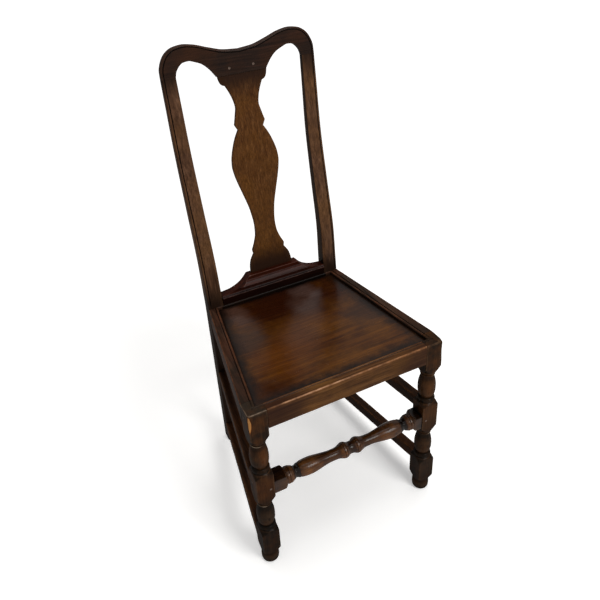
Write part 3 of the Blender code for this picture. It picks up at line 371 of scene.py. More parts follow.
# Colours, typical roughness and the places where each piece is darker, warmer or lighter. A darkening, some
# of them painted shade, is:
# how ragged its border is, axis, start place, darkest place, share. A stain or painted reflection is: middle,
# reach, share, colour.
looks = {
    # planed by hand and waxed: calm brown with fine upright grain, nearly black behind the seat
    "planedOakPost": {
        "grain": "up", "shift": (0.31, 0.12, 0.45), "dark": "#3b271b", "mid": "#4e3525",
        "light": "#5e4331", "warm": "#5e4025", "pore": "#20130b", "sootAndShade": "#0b0705",
        "worn": "#64452c", "roughness": 0.38, "darkened": "#1e130d",
        "darkens": [(0.05, 2, 0.925, 0.985, 0.90), (0.02, 2, 0.512, 0.463, 0.94)],
    },
    # planed, moulded and blackened by hands: greenish dark top with rust-red rubbed places
    "mouldedOakSideRail": {
        "grain": "back", "shift": (0.77, 0.33, 0.21), "dark": "#1b130e", "mid": "#2a1e17",
        "light": "#3a2a1f", "warm": "#45281b", "pore": "#120b08", "sootAndShade": "#0a0604",
        "worn": "#6a3f26", "roughness": 0.34, "dirtAndShade": 0.6, "warmth": 0.7, "smudgeSize": 14,
        "stainsAndReflections": [((0.207, -0.16, 0.46), (0.03, 0.09, 0.03), 0.40, "#472b1c")],
        "darkened": "#1c1712", "darkens": [(0.03, 1, -0.08, -0.21, 0.60)],
    },
    # sawn and left plain: sooty brown with lighter handled edges
    "sawnOakSideStretcher": {
        "grain": "back", "shift": (0.44, 0.69, 0.16), "dark": "#150c09", "mid": "#22140b",
        "light": "#301d12", "warm": "#3a1f0d", "pore": "#0f0906", "sootAndShade": "#070504",
        "worn": "#6a4325", "roughness": 0.36, "wearAndLight": 0.8,
    },
    # planed, out of reach of cloths: almost black, and darker to the right with painted shade
    "sootyAndShadedOakRearRail": {
        "grain": "across", "shift": (0.11, 0.57, 0.68), "dark": "#130b08", "mid": "#1e120b",
        "light": "#2c1b11", "warm": "#2b180d", "pore": "#0c0705", "sootAndShade": "#060403",
        "worn": "#4c3426", "roughness": 0.34,
        # darker to the right: painted shade
        "darkened": "#070403", "darkens": [(0.03, 0, -0.08, 0.08, 0.85)],
    },
    # planed and rubbed by legs and hands: golden brown to the right, dark and red to the left
    "rubbedOakFrontRail": {
        "grain": "across", "shift": (0.15, 0.64, 0.83), "dark": "#2f1d10", "mid": "#462c19",
        "light": "#5c3e24", "warm": "#6a4620", "pore": "#1d1109", "sootAndShade": "#0c0705",
        "worn": "#7d5333", "highlightTone": "#b08a6c", "roughness": 0.32, "wearAndLight": 0.8,
        "darkened": "#2a170f",
        "darkens": [(0.05, 0, -0.075, -0.170, 0.85), (0.05, 0, 0.06, 0.17, 0.70)],
    },
    # sawn, its edge moulded with a scratch tool, black with old wax: the darkest piece
    "blackenedOakCrest": {
        "grain": "across", "shift": (0.52, 0.27, 0.91), "dark": "#19110e", "mid": "#231711",
        "light": "#2e1c16", "warm": "#371f11", "pore": "#0e0906", "sootAndShade": "#090605",
        "worn": "#3f2d22", "roughness": 0.32, "lineDepth": 0.24, "wax": 0.09,
    },
    # sawn to its outline and scraped flat: warm mid brown with close upright grain
    "scrapedOakSplat": {
        "grain": "up", "shift": (0.66, 0.18, 0.37), "dark": "#3e230e", "mid": "#4d2f16",
        "light": "#5b3b20", "warm": "#563513", "pore": "#221206", "sootAndShade": "#0b0705",
        "worn": "#4c2f19", "roughness": 0.36, "lineDepth": 0.38, "ringWidth": 5, "lineWidth": 1.7,
        "darkened": "#22140d",
        # the top, under the crest, darkens as painted shade; the foot darkens too
        "darkens": [(0.04, 2, 0.905, 0.968, 0.92), (0.03, 2, 0.585, 0.525, 0.95)],
    },
    # cut with moulding planes and polished by dusting: deep red-brown, almost black in its hollows
    "mouldedOakShoe": {
        "grain": "across", "shift": (0.24, 0.86, 0.59), "dark": "#1b0905", "mid": "#2a0f06",
        "light": "#3c180b", "warm": "#381308", "pore": "#0d0604", "sootAndShade": "#060403",
        "worn": "#5c3f36", "highlightTone": "#8a6a60", "roughness": 0.26, "wearAndLight": 0.75,
        "darkened": "#080302", "darkens": [(0.01, 2, 0.482, 0.468, 0.80)],
    },
    # planed, then polished by sitters: glossy golden brown in the middle with greyish patches of painted
    # sheen, pale bands of painted reflection towards the back, red-black along the edges
    "polishedOakBoard": {
        "grain": "across", "shift": (0.42, 0.73, 0.11), "dark": "#241002", "mid": "#391c05",
        "light": "#4e2c0a", "warm": "#54310c", "pore": "#170a04", "sootAndShade": "#0a0402",
        "worn": "#6a4526", "roughness": 0.22, "lineDepth": 0.24, "warmth": 0.7,
        "ringWidth": 10, "specular": 0.075, "wax": 0.02, "edgeGrime": boardEdgeGrime, "bump": 0.06,
        "stainsAndReflections": [((0.00, 0.110, 0.45), (0.31, 0.190, 1), 0.93, "#220a02"),
                   # pale greyish bands towards the back: painted reflection
                   ((-0.122, 0.085, 0.45), (0.036, 0.090, 1), 0.75, "#422c23"),
                   ((0.064, 0.100, 0.45), (0.038, 0.060, 1), 0.75, "#42302a"),
                   ((0.030, 0.035, 0.45), (0.036, 0.045, 1), 0.55, "#402e27"),
                   ((0.125, 0.110, 0.45), (0.032, 0.045, 1), 0.75, "#220a02"),
                   ((-0.09, -0.117, 0.45), (0.09, 0.080, 1), 0.65, "#4d2708"),
                   # lighter brown and greyish patches across the middle: painted sheen
                   ((0.00, -0.045, 0.45), (0.10, 0.06, 1), 0.55, "#4e2e18"),
                   ((-0.14, -0.010, 0.45), (0.06, 0.06, 1), 0.55, "#34241a"),
                   ((0.14, -0.070, 0.45), (0.06, 0.09, 1), 0.60, "#301f15"),
                   ((-0.16, -0.190, 0.45), (0.06, 0.05, 1), 0.80, "#2a1002")],
    },
    # turned on a pole lathe and blackened: dark, with rust-brown bellies and a bare chipped corner
    "turnedOakLeg": {
        "grain": "up", "shift": (0.93, 0.48, 0.29), "dark": "#150d08", "mid": "#22160d",
        "light": "#2f2014", "warm": "#422610", "pore": "#110a06", "sootAndShade": "#0b0c09",
        "worn": "#59422f", "highlightTone": "#b7a994", "roughness": 0.30, "lineDepth": 0.24,
        "warmth": 0.9, "patchSize": 33, "darkened": "#100b08",
        "darkens": [(0.05, 2, 0.30, 0.10, 0.60)],
        "stainsAndReflections": [((-0.201, -0.245, 0.345), (0.014, 0.03, 0.030), 0.55, "#542c10"),
                   ((0.200, -0.245, 0.335), (0.016, 0.03, 0.034), 0.45, "#4f2d13"),
                   ((-0.205, -0.245, 0.248), (0.05, 0.03, 0.045), 0.45, "#4a280f"),
                   ((0.205, -0.245, 0.250), (0.05, 0.03, 0.045), 0.40, "#4d3019"),
                   ((0.205, -0.245, 0.085), (0.05, 0.03, 0.040), 0.45, "#4a3524"),
                   ((-0.205, -0.225, 0.155), (0.05, 0.05, 0.050), 0.60, "#17120d"),
                   ((-0.212, -0.222, 0.470), (0.040, 0.040, 0.010), 0.85, "#28211a")],
    },
    # turned and polished by shoes and cloths: glossy, warm on the swellings, black in the grooves
    "turnedOakStretcher": {
        "grain": "across", "shift": (0.58, 0.39, 0.71), "dark": "#1b0d06", "mid": "#2f190c",
        "light": "#492b13", "warm": "#613810", "pore": "#100805", "sootAndShade": "#070403",
        "worn": "#6b4a30", "roughness": 0.22, "wax": 0.30, "waxRoughness": 0.20, "warmth": 0.9,
        "patchSize": 45, "darkened": "#120a06",
        "darkens": [(0.02, 0, 0.145, 0.178, 0.75), (0.02, 0, -0.128, -0.165, 0.50)],
    },
    # whittled, end grain outwards: small dull greyish discs
    "whittledOakPeg": {
        "grain": "across", "shift": (0.35, 0.95, 0.62), "dark": "#2c211b", "mid": "#41332b",
        "light": "#5a4a41", "warm": "#4a3a30", "pore": "#1d1511", "sootAndShade": "#14100e",
        "worn": "#8b7a70", "roughness": 0.5, "wax": 0.03,
    },
}
finishes = {name: agedOak(name, look) for name, look in looks.items()}
print("materials made", len(finishes))


# seat frame

rim = {
    # moulding run along the inner edge of the frame: distance from the recess, drop in mm
    "moulding": [(0.0, -3.4), (0.35, -2.0), (1.2, -0.95), (2.4, -0.25), (3.5, 0.0), (4.6, -0.2),
                 (5.5, -0.8), (6.1, -1.7), (6.6, -2.0), (7.1, -1.3), (7.5, -0.3), (8.4, 0.0)],
    # where a rail has points across the moulding, in metres from the recess
    "steps": (0.0105, 0.0084, 0.0075, 0.0071, 0.0066, 0.0061, 0.0055, 0.0046, 0.0035, 0.0024, 0.0012,
              0.00035, 0.0),
}
rimProfile = throughPoints(rim["moulding"])


def rimWear(away, rubbed):
    # the bead is rubbed, the groove beside it and the drop to the board are black
    if 0.0056 < away < 0.0072:
        return -1.0
    if away < 0.0006:
        return -0.35
    return rubbed if 0.0010 < away < 0.0050 else 0.0


def fromRecess(x, depth):
    # how far a point of the frame lies outside the opening that holds the board
    side = (abs(x) - recessX(depth)) / math.sqrt(1 + recess["slope"] ** 2)
    return max(chair["frontRim"] - depth, side, depth - boardBack)


def seatTop(x, depth):
    away = fromRecess(x, depth)
    if away < -0.00001:
        return seatLevel(depth) - ledgeDrop
    return seatLevel(depth) + rimProfile(away / mm) * mm + rough((x, depth, 0), 0.05, 0.00025)


def railOutside(arris, highlight=0.0):
    # outer face of a rail from the bottom up, its top arris worn round and given an optional painted
    # highlight: in, up, wear
    low = -chair["railHeight"] / mm
    section = [(1.2, low, 0.2), (0.35, low + 0.35, 0.5), (0, low + 1.3, 0.1)]
    section += [(0, low * share, 0) for share in (0.8, 0.6, 0.4, 0.2)]
    for turn, worn in ((0, 0.3), (22, 0.8), (45, 1.0), (67, 1.0), (90, 0.6)):
        a = math.radians(turn)
        worn += highlight if 30 < turn < 80 else 0
        section.append((arris * (1 - math.cos(a)), arris * (math.sin(a) - 1), worn))
    return [(t * mm, z * mm, worn) for t, z, worn in section]


def sideRail(side, name):
    rail = {"near": 0.0411, "far": 0.3741, "arris": 1.6, "setIn": 0.0001, "dents": 0.0004}
    depths = between(rail["near"], boardBack - chair["gap"], 44)
    depths += [boardBack + 0.0004, boardBack + 0.0013, rail["far"]]
    rings = []
    for depth in depths:
        outer, edge, level = seatX(depth), recessX(depth), seatLevel(depth)
        inside = outer - chair["sideRimFront"] - chair["ledge"]
        rubbed = 0.35 + rough((side, depth, 8), 0.03, 0.5)
        ring = []
        for t, z, w in railOutside(rail["arris"]):
            dent = 0 if t else rough((side * 9, depth, z), 0.06, rail["dents"])
            ring.append((outer - rail["setIn"] - t + dent, level + z, w))
        for away in (outer - edge - 0.003, outer - edge - 0.008, *rim["steps"]):
            ring.append((edge + away, seatTop(edge + away, depth), rimWear(away, rubbed)))
        for x in (edge - 0.0001, edge - 0.005, inside):
            ring.append((x, seatTop(x, depth), 0.0))
        ring.append((inside, level - chair["railHeight"], 0.0))
        rings.append([(side * x, depth, z, w) for x, z, w in ring])
    loft(name + "_seat_rail", rings, "mouldedOakSideRail")


def frontRail():
    rail = {"arris": 3.2, "setBack": 0.0004, "bow": 0.0005, "dents": 0.0003, "darkEnd": 0.05}
    end = chair["frontHalf"] - chair["legSquare"] - chair["gap"]
    inner = chair["frontRim"]
    rings = []
    for x in between(-end, end, 90):
        bow = rough((x, 4, 0), 0.09, rail["bow"])
        # the arris gets a painted highlight, strongest left of the middle and in patches, and the left end
        # stayed dark
        highlight = 0.12 + 0.42 * fade(x, 0.05, -0.06) + rough((x, 6, 0), 0.02, 0.45)
        handled = 0.35 + 0.65 * fade(x, -end, -end + rail["darkEnd"])
        ring = []
        for t, z, w in railOutside(rail["arris"], highlight):
            dent = 0 if t > 0.001 else bow + rough((x, 2, z), 0.03, rail["dents"])
            y = t + dent + rail["setBack"]
            ring.append((x, y, seatLevel(y) + z, w * handled))
        for away in (inner - 0.0045, 0.016, 0.0125, *rim["steps"]):
            ring.append((x, inner - away, seatTop(0, inner - away), rimWear(away, 0.25)))
        for beyond, drop in ((0.0001, ledgeDrop), (0.005, ledgeDrop), (chair["ledge"], ledgeDrop),
                             (chair["ledge"], chair["railHeight"])):
            ring.append((x, inner + beyond, seatLevel(inner + beyond) - drop, 0.0))
        rings.append(ring)
    loft("front_seat_rail", rings, "rubbedOakFrontRail")


def rearRail():
    rail = {"betweenPosts": 0.1364, "atPosts": 0.1399, "stop": 0.3741, "back": 0.3970}
    stop, back = rail["stop"], rail["back"]
    lip = boardBack - chair["ledge"]
    # front to back: depth, share of the rail's height below its top
    rows = [(lip, 1), (lip, 0), (boardBack - 0.005, 0), (boardBack - 0.0001, 0)]
    rows += [(boardBack + away, 0) for away in (0.0, 0.00035, 0.0012, 0.0020)]
    rows += [(stop, 0), (stop + 0.001, 0), (back - 0.001, 0), (back, 0.02), (back, 1)]
    # middle to end: place across, how far back the rail reaches there
    ends = [(x, back) for x in [0.0] + between(0.01, rail["betweenPosts"], 22)]
    ends += [(rail["betweenPosts"] + 0.0001, stop), (rail["atPosts"], stop), (None, stop)]
    rings = []
    for side, x, limit in [(-1, *e) for e in reversed(ends)] + [(1, *e) for e in ends[1:]]:
        ring = []
        for y, drop in rows:
            y = min(y, limit)
            if x is None:
                across = seatX(y) - chair["sideRimFront"] - chair["ledge"] - chair["gap"]
            else:
                across = x
            z = seatLevel(y) - chair["railHeight"] * drop if drop else seatTop(0, y)
            ring.append((side * across, y, z, 0.0 if drop else rimWear(y - boardBack, 0.1)))
        rings.append(ring)
    loft("rear_seat_rail", rings, "sootyAndShadedOakRearRail")


def seatBoard():
    board = {"across": 56, "along": 48, "wave": 0.00022, "easing": 0.0007, "margin": 0.006}
    near, far = chair["frontRim"] + chair["gap"], boardBack - chair["gap"]
    steps = (0, 0.0006, 0.0015)     # points close to an edge, where the board is eased

    def stations(low, high, count):
        inner = between(low + board["margin"], high - board["margin"], count)
        return [low + s for s in steps] + inner + [high - s for s in reversed(steps)]

    def eased(fromEdge):
        return board["easing"] * (1 - fade(fromEdge, 0, 0.0014))

    rings = []
    for y in stations(near, far, board["along"]):
        half = recessX(y) - chair["gap"]
        level = seatLevel(y) - chair["boardDrop"]
        ring = []
        for x in stations(-half, half, board["across"]):
            wave = rough((x * 0.6, y, 3.3), 0.055, board["wave"]) - board["wave"]
            drop = max(eased(min(y - near, far - y)), eased(half - abs(x)))
            ring.append((x, y, level + wave - drop, 0.0))
        ring += [(x, y, level - chair["boardThick"], 0.0) for x in (half, half / 3, -half / 3, -half)]
        rings.append(ring)
    loft("seat_board", rings, "polishedOakBoard")


# front legs

leg = {
    "footTop": 0.0488, "lowBlockTop": 0.1029, "midBlockBottom": 0.2196, "midBlockTop": 0.2846,
    "topBlockBottom": 0.4013, "topBlockTop": 0.4470,
    "cutFrom": 0.4501,          # from here up the board's corner is cut out of the block
    "cutAlong": (0.4525, 0.4650), "topRing": 0.4660,
    "topDrop": 0.0034,          # inside the rim the top lies as low as the moulding's inner edge
    "chipMiddle": 0.4455, "chipHalf": 0.0212, "chipDepth": 0.0028,
    "fine": (0.4185, 0.4690),   # the mesh is finer at these heights, and at these angles in degrees
    "fineAngles": (43.5, 46.5, 133.5, 136.5, 223.5, 226.5, 305.5, 307, 308.5, 310, 312, 313.4, 314.2,
                   315.8, 316.6, 318, 320, 321.5, 323, 324.4),
    "frontArris": 0.0032, "sideArris": 0.0016, "knockedCorner": 0.0045,
    # distance down a turned length, radius, both in mm
    "turning": [(0, 29.2), (3, 27.4), (7, 25.0), (11, 22.9), (15, 20.9), (19, 19.0), (22.5, 17.4),
                (25.2, 16.2), (25.6, 16.9), (26.6, 17.2), (27.8, 16.8), (28.4, 15.2), (30.0, 14.6),
                (33, 15.0), (38, 16.3), (46, 18.3), (56, 19.9), (66, 20.5), (75, 20.3), (83, 19.2),
                (88, 17.6), (91.5, 16.0), (93.6, 15.3), (94.4, 15.3), (95.2, 17.2), (97.5, 19.3),
                (100.5, 20.0), (103.6, 19.6), (105.2, 18.6), (105.9, 17.4), (107.2, 17.4),
                (108.2, 18.6), (112, 23.2), (116.7, 29.8)],
    "fillet": (25.3, 27.9),    # the thin ring under each block, with a painted highlight in front
    "collar": (92.5, 107.5),   # the ring above the next block, black with old wax
    "foot": [(0, 29.8), (5, 27.4), (10, 23.0), (14, 18.8), (17, 16.9), (20, 16.5), (23, 17.1),
             (27, 19.6), (32, 20.3), (37, 20.3), (42, 20.0), (45, 19.1), (47.2, 17.4), (48.8, 14.8)],
}


def frontLeg(side, name):
    half = chair["legSquare"] / 2
    centre = (chair["frontHalf"] - half, half)
    turning, foot = throughPoints(leg["turning"]), throughPoints(leg["foot"])
    turned = leg["midBlockBottom"] - leg["lowBlockTop"]
    heights = between(*leg["fine"], 24)
    for top, length, table in ((leg["footTop"], leg["footTop"], "foot"),
                               (leg["midBlockBottom"], turned, "turning"),
                               (leg["topBlockBottom"], turned, "turning")):
        heights += [top - down for down in [p[0] * mm for p in leg[table]] + between(0, length, 62)]
    for low, high in ((leg["footTop"], leg["lowBlockTop"]), (leg["midBlockBottom"], leg["midBlockTop"]),
                      (leg["topBlockBottom"], leg["topBlockTop"])):
        heights += between(low, high, 14)[1:-1]
    heights = sorted(h for h in set(round(h, 5) for h in heights) if h < leg["cutFrom"] - 0.0001)
    # the board's corner is let into the leg: the cut's corner, and how far it runs to the back face
    notch = (centre[0] - recessX(chair["frontRim"]), chair["frontRim"] - centre[1])
    notchRear = centre[0] - recessX(chair["legSquare"])
    angles = [2 * math.pi * i / 80 for i in range(80)]
    angles += [math.radians(a) for a in leg["fineAngles"]]
    angles += [math.atan2(notch[1], -notch[0]) + d for d in (-0.02, 0.0, 0.02)]
    angles += [math.atan2(half, -notchRear), math.atan2(notch[1], -half)]
    angles = sorted(a % (2 * math.pi) for a in angles)

    def reach(angle, z, notched):
        # distance from the leg's middle to its surface, with how worn and how bare it is there
        c, s = math.cos(angle), math.sin(angle)
        faces = [half / abs(c) if abs(c) > 0.02 else 9, half / abs(s) if abs(s) > 0.02 else 9]
        chip = (c - s) / math.sqrt(2)       # 1 towards the front outer corner
        bare = 0.0
        along = (z - leg["chipMiddle"]) / leg["chipHalf"]
        if side < 0 and abs(along) < 1 and chip > 0.5:
            depth = leg["chipDepth"] * (1 - along * along) + 0.0012
            cut = (half * math.sqrt(2) - depth + rough((z, 5, 1), 0.006, 0.0004)) / chip
            bare = min(max((smallest(faces, 30) - cut) / 0.0014, 0), 1)
            faces.append(cut)
        faces = [f for f in faces if f < 5]
        square = smallest(faces, 30)
        if side > 0 and c > 0 > s and z > leg["topBlockBottom"]:
            square += (smallest(faces, 9) - square) * fade(z, 0.410, 0.450)
        lean = -c - recess["slope"] * s     # over 0 towards the board
        if notched and s > 0 and lean > 0:
            square = min(square, max((notch[0] - recess["slope"] * notch[1]) / lean, notch[1] / s))
        corner = fade(max(abs(c), abs(s)), 0.775, 0.712)    # 1 on the arrises, 0 on the flats
        down = 0
        if z < leg["footTop"]:
            radius = foot((leg["footTop"] - z) / mm) * mm
        elif leg["lowBlockTop"] < z < leg["midBlockBottom"] or leg["midBlockTop"] < z < leg["topBlockBottom"]:
            block = leg["midBlockBottom"] if z < leg["midBlockBottom"] else leg["topBlockBottom"]
            down = (block - z) / mm
            radius = turning(down) * mm
        else:
            return square, corner * (0.8 if z > 0.2 else 0.5), bare
        if square < radius:
            return smallest([square, radius], 70), 0.5 * corner, bare
        # the fillet is rubbed, and its front carries a painted highlight
        if leg["fillet"][0] < down < leg["fillet"][1]:
            return radius, 0.2 + 1.1 * fade(c - s, 0.5, 1.2), bare
        # bellies are rubbed, the neck, the collar and the shoulders are black
        ring = fade(radius, 0.0160, 0.0176) * 0.5 - 0.4 + 0.2 * fade(radius, 0.0176, 0.0200)
        if leg["collar"][0] < down < leg["collar"][1]:
            ring = -0.55
        shoulder = fade(radius, 0.0205, 0.0225)
        return smallest([square, radius], 70), ring * (1 - shoulder) - 0.65 * shoulder, bare

    def ringAt(z, notched, drift=0.0):
        ring = []
        for a in angles:
            r, worn, bare = reach(a, z, notched)
            x, y = centre[0] + math.cos(a) * (r + drift), centre[1] + math.sin(a) * (r + drift)
            ring.append((side * x, y, z, worn, bare))
        return ring

    rings = []
    for z in heights + [leg["cutFrom"]]:
        rings.append(ringAt(z, False, rough((z, side, 2), 0.02, 0.00025) - 0.0003))
    rings += [ringAt(z, True) for z in [leg["cutFrom"] + 0.0001] + between(*leg["cutAlong"], 7)]
    # the top is closed by ever smaller rings, and its outer arrises are worn round
    for scale in (1.0, 0.985, 0.96, 0.93, 0.89, 0.84, 0.78, 0.71, 0.64, 0.56, 0.47, 0.38, 0.28, 0.18, 0.08):
        ring = []
        for a in angles:
            c, s = math.cos(a), math.sin(a)
            r = reach(a, leg["topRing"], True)[0]
            x, y = centre[0] + c * r * scale, centre[1] + s * r * scale
            level = max(seatTop(x, y), seatLevel(y) - leg["topDrop"])
            inside = r * (1 - scale) * max(abs(c), abs(s))
            arris = 0.0001
            if s < 0 and -s >= abs(c) * 0.98:
                arris = leg["frontArris"]
            elif c > abs(s) * 0.98:
                arris = leg["sideArris"]
            if side > 0 and c > 0 > s:
                arris += leg["knockedCorner"] * fade(min(abs(c), abs(s)), 0.40, 0.70)
            left = max(arris - inside, 0)
            worn = 0.0
            # on the left leg the arris crowns carry a painted highlight
            if left > 0 and arris > 0.001:
                crown = fade(left / arris, 0.15, 0.45) * fade(left / arris, 0.95, 0.70)
                worn = 0.5 + (0.8 if side < 0 else 0.1) * crown
            ring.append((side * x, y, level - arris + math.sqrt(arris * arris - left * left), worn, 0.0))
        rings.append(ring)
    loft(name + "_front_leg", rings, "turnedOakLeg", sharp=30)


# rear posts

post = {
    "rise": 0.536, "setBack": 0.0922, "lean": math.atan(0.135),
    # thickness from front to back, then outer and inner face from the chair's middle
    "atFoot": (0.028, 0.1730, 0.1410),
    "atSeat": (0.031, chair["rearHalf"], 0.1367),
    "atTop": (0.014, 0.1786, 0.1466),
    # share of the rise above the seat, share of the set-back
    "sweep": [(0, 0), (0.069, 0.042), (0.207, 0.125), (0.433, 0.427), (0.692, 0.758),
              (0.858, 0.888), (1, 1)],
}


def rearPost(side, name):
    sweep = throughPoints(post["sweep"])
    top = rearSeat + post["rise"]
    heights = between(0, 0.004, 4) + between(0.012, rearSeat - 0.012, 34)
    heights += between(rearSeat - 0.006, rearSeat + 0.03, 14) + between(rearSeat + 0.037, top, 84)
    rings = []
    for z in heights:
        share = (z - rearSeat) / post["rise"]
        front = chair["seatDepth"] + (post["setBack"] * sweep(share) if share > 0 else 0)
        low, high = (post["atFoot"], post["atSeat"]) if share < 0 else (post["atSeat"], post["atTop"])
        mix = z / rearSeat if share < 0 else share
        depth, outer, inner = (a + (b - a) * mix for a, b in zip(low, high))
        back = front + depth
        width = outer - inner
        cut = fade(z, rearSeat + 0.001, rearSeat + 0.010)   # the bead starts on the seat
        # from the outer face inwards and from the front face backwards in mm, wear
        bead = [(7.6, 0, 0.0), (7.1, 0.5 * cut, -cut), (6.6, 1.8 * cut, -cut), (5.9, 1.8 * cut, -cut),
                (5.4, 0.6 * cut, -0.9 * cut), (4.8, 0.1, -0.2 * cut), (4.0, 0.0, 0.1), (2.9, 0.15, 0.0),
                (1.8, 0.55, -0.3 * cut), (0.9, 1.25, -0.3 * cut), (0.25, 2.3, -0.3 * cut),
                (0, 3.4, -0.4 * cut), (0, 5.0, -0.4 * cut)]
        section = [(outer - t * mm, front + d * mm, w) for t, d, w in bead]
        section += [(outer, front + depth * 0.45, 0), (outer, front + depth * 0.75, 0),
                    (outer, back - 2.0 * mm, 0.3), (outer - 0.0005, back - 0.0006, 0.7),
                    (outer - 0.002, back, 0.3), (outer - width * 0.35, back, 0),
                    (outer - width * 0.65, back, 0), (inner + 0.002, back, 0.3),
                    # the inner face is blackened with values below 0: painted shade
                    (inner + 0.0005, back - 0.0006, 0.7), (inner, back - 0.002, -0.5),
                    (inner, front + depth * 0.6, -0.8), (inner, front + depth * 0.35, -0.8),
                    (inner, front + 0.002, -0.6), (inner + 0.0005, front + 0.0005, 0.5),
                    (inner + 0.0018, front, 0.3), (inner + width * 0.25, front, 0),
                    (inner + width * 0.5, front, 0), (outer - 0.0085, front, 0)]
        foot = 0.0012 * (1 - fade(z, 0, 0.004))     # the foot's edges are eased
        bow = rough((z, side * 3, 0), 0.07, 0.0005)
        lean = fade(z, top - 0.03, top)             # the top end is cut square to the crest
        ring = []
        for x, y, w in section:
            if foot:
                x += math.copysign(foot, (inner + outer) / 2 - x)
                y += math.copysign(foot, front + depth / 2 - y)
            height = z - 0.0003 * lean - (y - front) * math.tan(post["lean"]) * lean
            ring.append((side * (x + bow * 0.4), y + bow * 0.3, height, w))
        rings.append(ring)
    loft(name + "_rear_post", rings, "planedOakPost")


# crest rail

crest = {
    "thick": 0.014,
    # right half of the top outline and of the underside, from the middle to the post:
    # place along the rail, across and up from the posts' joint, in mm
    "outer": [(0.00, 0.0, 37.3), (0.14, 32.0, 40.4), (0.28, 63.9, 49.5), (0.43, 98.1, 60.9),
              (0.54, 122.0, 64.6), (0.64, 142.0, 62.1), (0.74, 160.0, 52.5), (0.84, 172.5, 35.3),
              (0.92, 178.2, 16.2), (1.00, 178.6, 0.0)],
    "under": [(0.00, 0.0, -14.1), (0.14, 32.0, -14.1), (0.27, 57.5, -14.1, 1), (0.34, 62.0, -7.1),
              (0.40, 72.0, 6.1), (0.47, 85.0, 17.6), (0.54, 100.0, 24.7), (0.62, 114.0, 29.3),
              (0.71, 126.1, 28.2), (0.79, 137.0, 20.7), (0.88, 144.0, 10.1), (1.00, 146.6, 0.0)],
}
crestPlace = (Matrix.Translation((0, chair["seatDepth"] + post["setBack"], rearSeat + post["rise"]))
              @ Matrix.Rotation(-post["lean"], 4, "X"))


def crestRail():
    outerX = throughPoints([p[:2] for p in crest["outer"]])
    outerZ = throughPoints([(p[0], p[2]) for p in crest["outer"]])
    underX = withCorners([(p[0], p[1], *p[3:]) for p in crest["under"]])
    underZ = withCorners([(p[0], p[2], *p[3:]) for p in crest["under"]])
    thick = crest["thick"] / mm
    along = between(0, 0.27, 26) + between(0.275, 1.0, 74)
    rings = []
    for side, u in [(-1, u) for u in reversed(along)] + [(1, u) for u in along[1:]]:
        outer = Vector((outerX(u), outerZ(u))) * mm
        line = Vector((underX(u), underZ(u))) * mm - outer
        spare = line.length / mm
        line.normalize()
        # from the outer edge inwards and from the front backwards in mm, wear
        section = [
            (2.0, thick, 0.2), (0.6, thick - 0.6, 0.7), (0, thick - 2.0, 0.4), (0, 7.5, 0), (0, 5.0, 0.1),
            (0, 3.4, 0.2), (0.25, 2.3, 0.4), (0.9, 1.25, 0.6), (1.8, 0.55, 0.6), (2.9, 0.15, 0.4),
            (4.0, 0, 0.3), (4.8, 0.1, 0.0), (5.4, 0.6, -0.9), (5.9, 1.8, -1), (6.6, 1.8, -1),
            (7.1, 0.5, -1), (7.6, 0, 0.0), (8.8, 0, 0),
        ]
        section += [(8.5 + (spare - 10.3) * s, 0, 0) for s in (0.2, 0.4, 0.6, 0.8)]
        section += [(spare - 1.8, 0, 0.3), (spare - 0.5, 0.5, 0.7), (spare, 1.8, 0.3),
                    (spare, thick - 1.6, 0.1), (spare - 0.5, thick - 0.5, 0.5), (spare - 1.6, thick, 0.2)]
        section += [(8.5 + (spare - 10.3) * s, thick, 0) for s in (0.75, 0.5, 0.25)]
        ring = []
        for s, depth, w in section:
            flat = outer + line * (s * mm)
            bow = rough((flat.x * side, 7, flat.y), 0.05, 0.0004) if depth < 2 else 0
            ring.append((*(crestPlace @ Vector((side * flat.x, depth * mm + bow, flat.y))), w))
        rings.append(ring)
    loft("crest_rail", rings, "blackenedOakCrest")


# splat and shoe

splat = {
    "half": 0.0575, "thick": 0.010, "topSetBack": 0.0018, "footDepth": 0.0113, "shoeHeight": 0.060,
    # share of the length, share of the half width, and a mark where the outline has a corner
    "outline": [(0.000, 0.940), (0.025, 0.925), (0.056, 0.870), (0.095, 0.690, 1), (0.115, 0.715, 1),
                (0.158, 0.560), (0.199, 0.470), (0.242, 0.450), (0.318, 0.515), (0.422, 0.730),
                (0.474, 0.853), (0.528, 0.955), (0.563, 0.990), (0.600, 0.965), (0.632, 0.905),
                (0.677, 0.782), (0.710, 0.661), (0.738, 0.530, 1), (0.764, 0.635, 1),
                (0.810, 0.540), (0.848, 0.480), (0.885, 0.530), (0.917, 0.620), (0.952, 0.750, 1),
                (0.960, 0.880), (0.978, 0.960), (1.000, 1.000)],
}


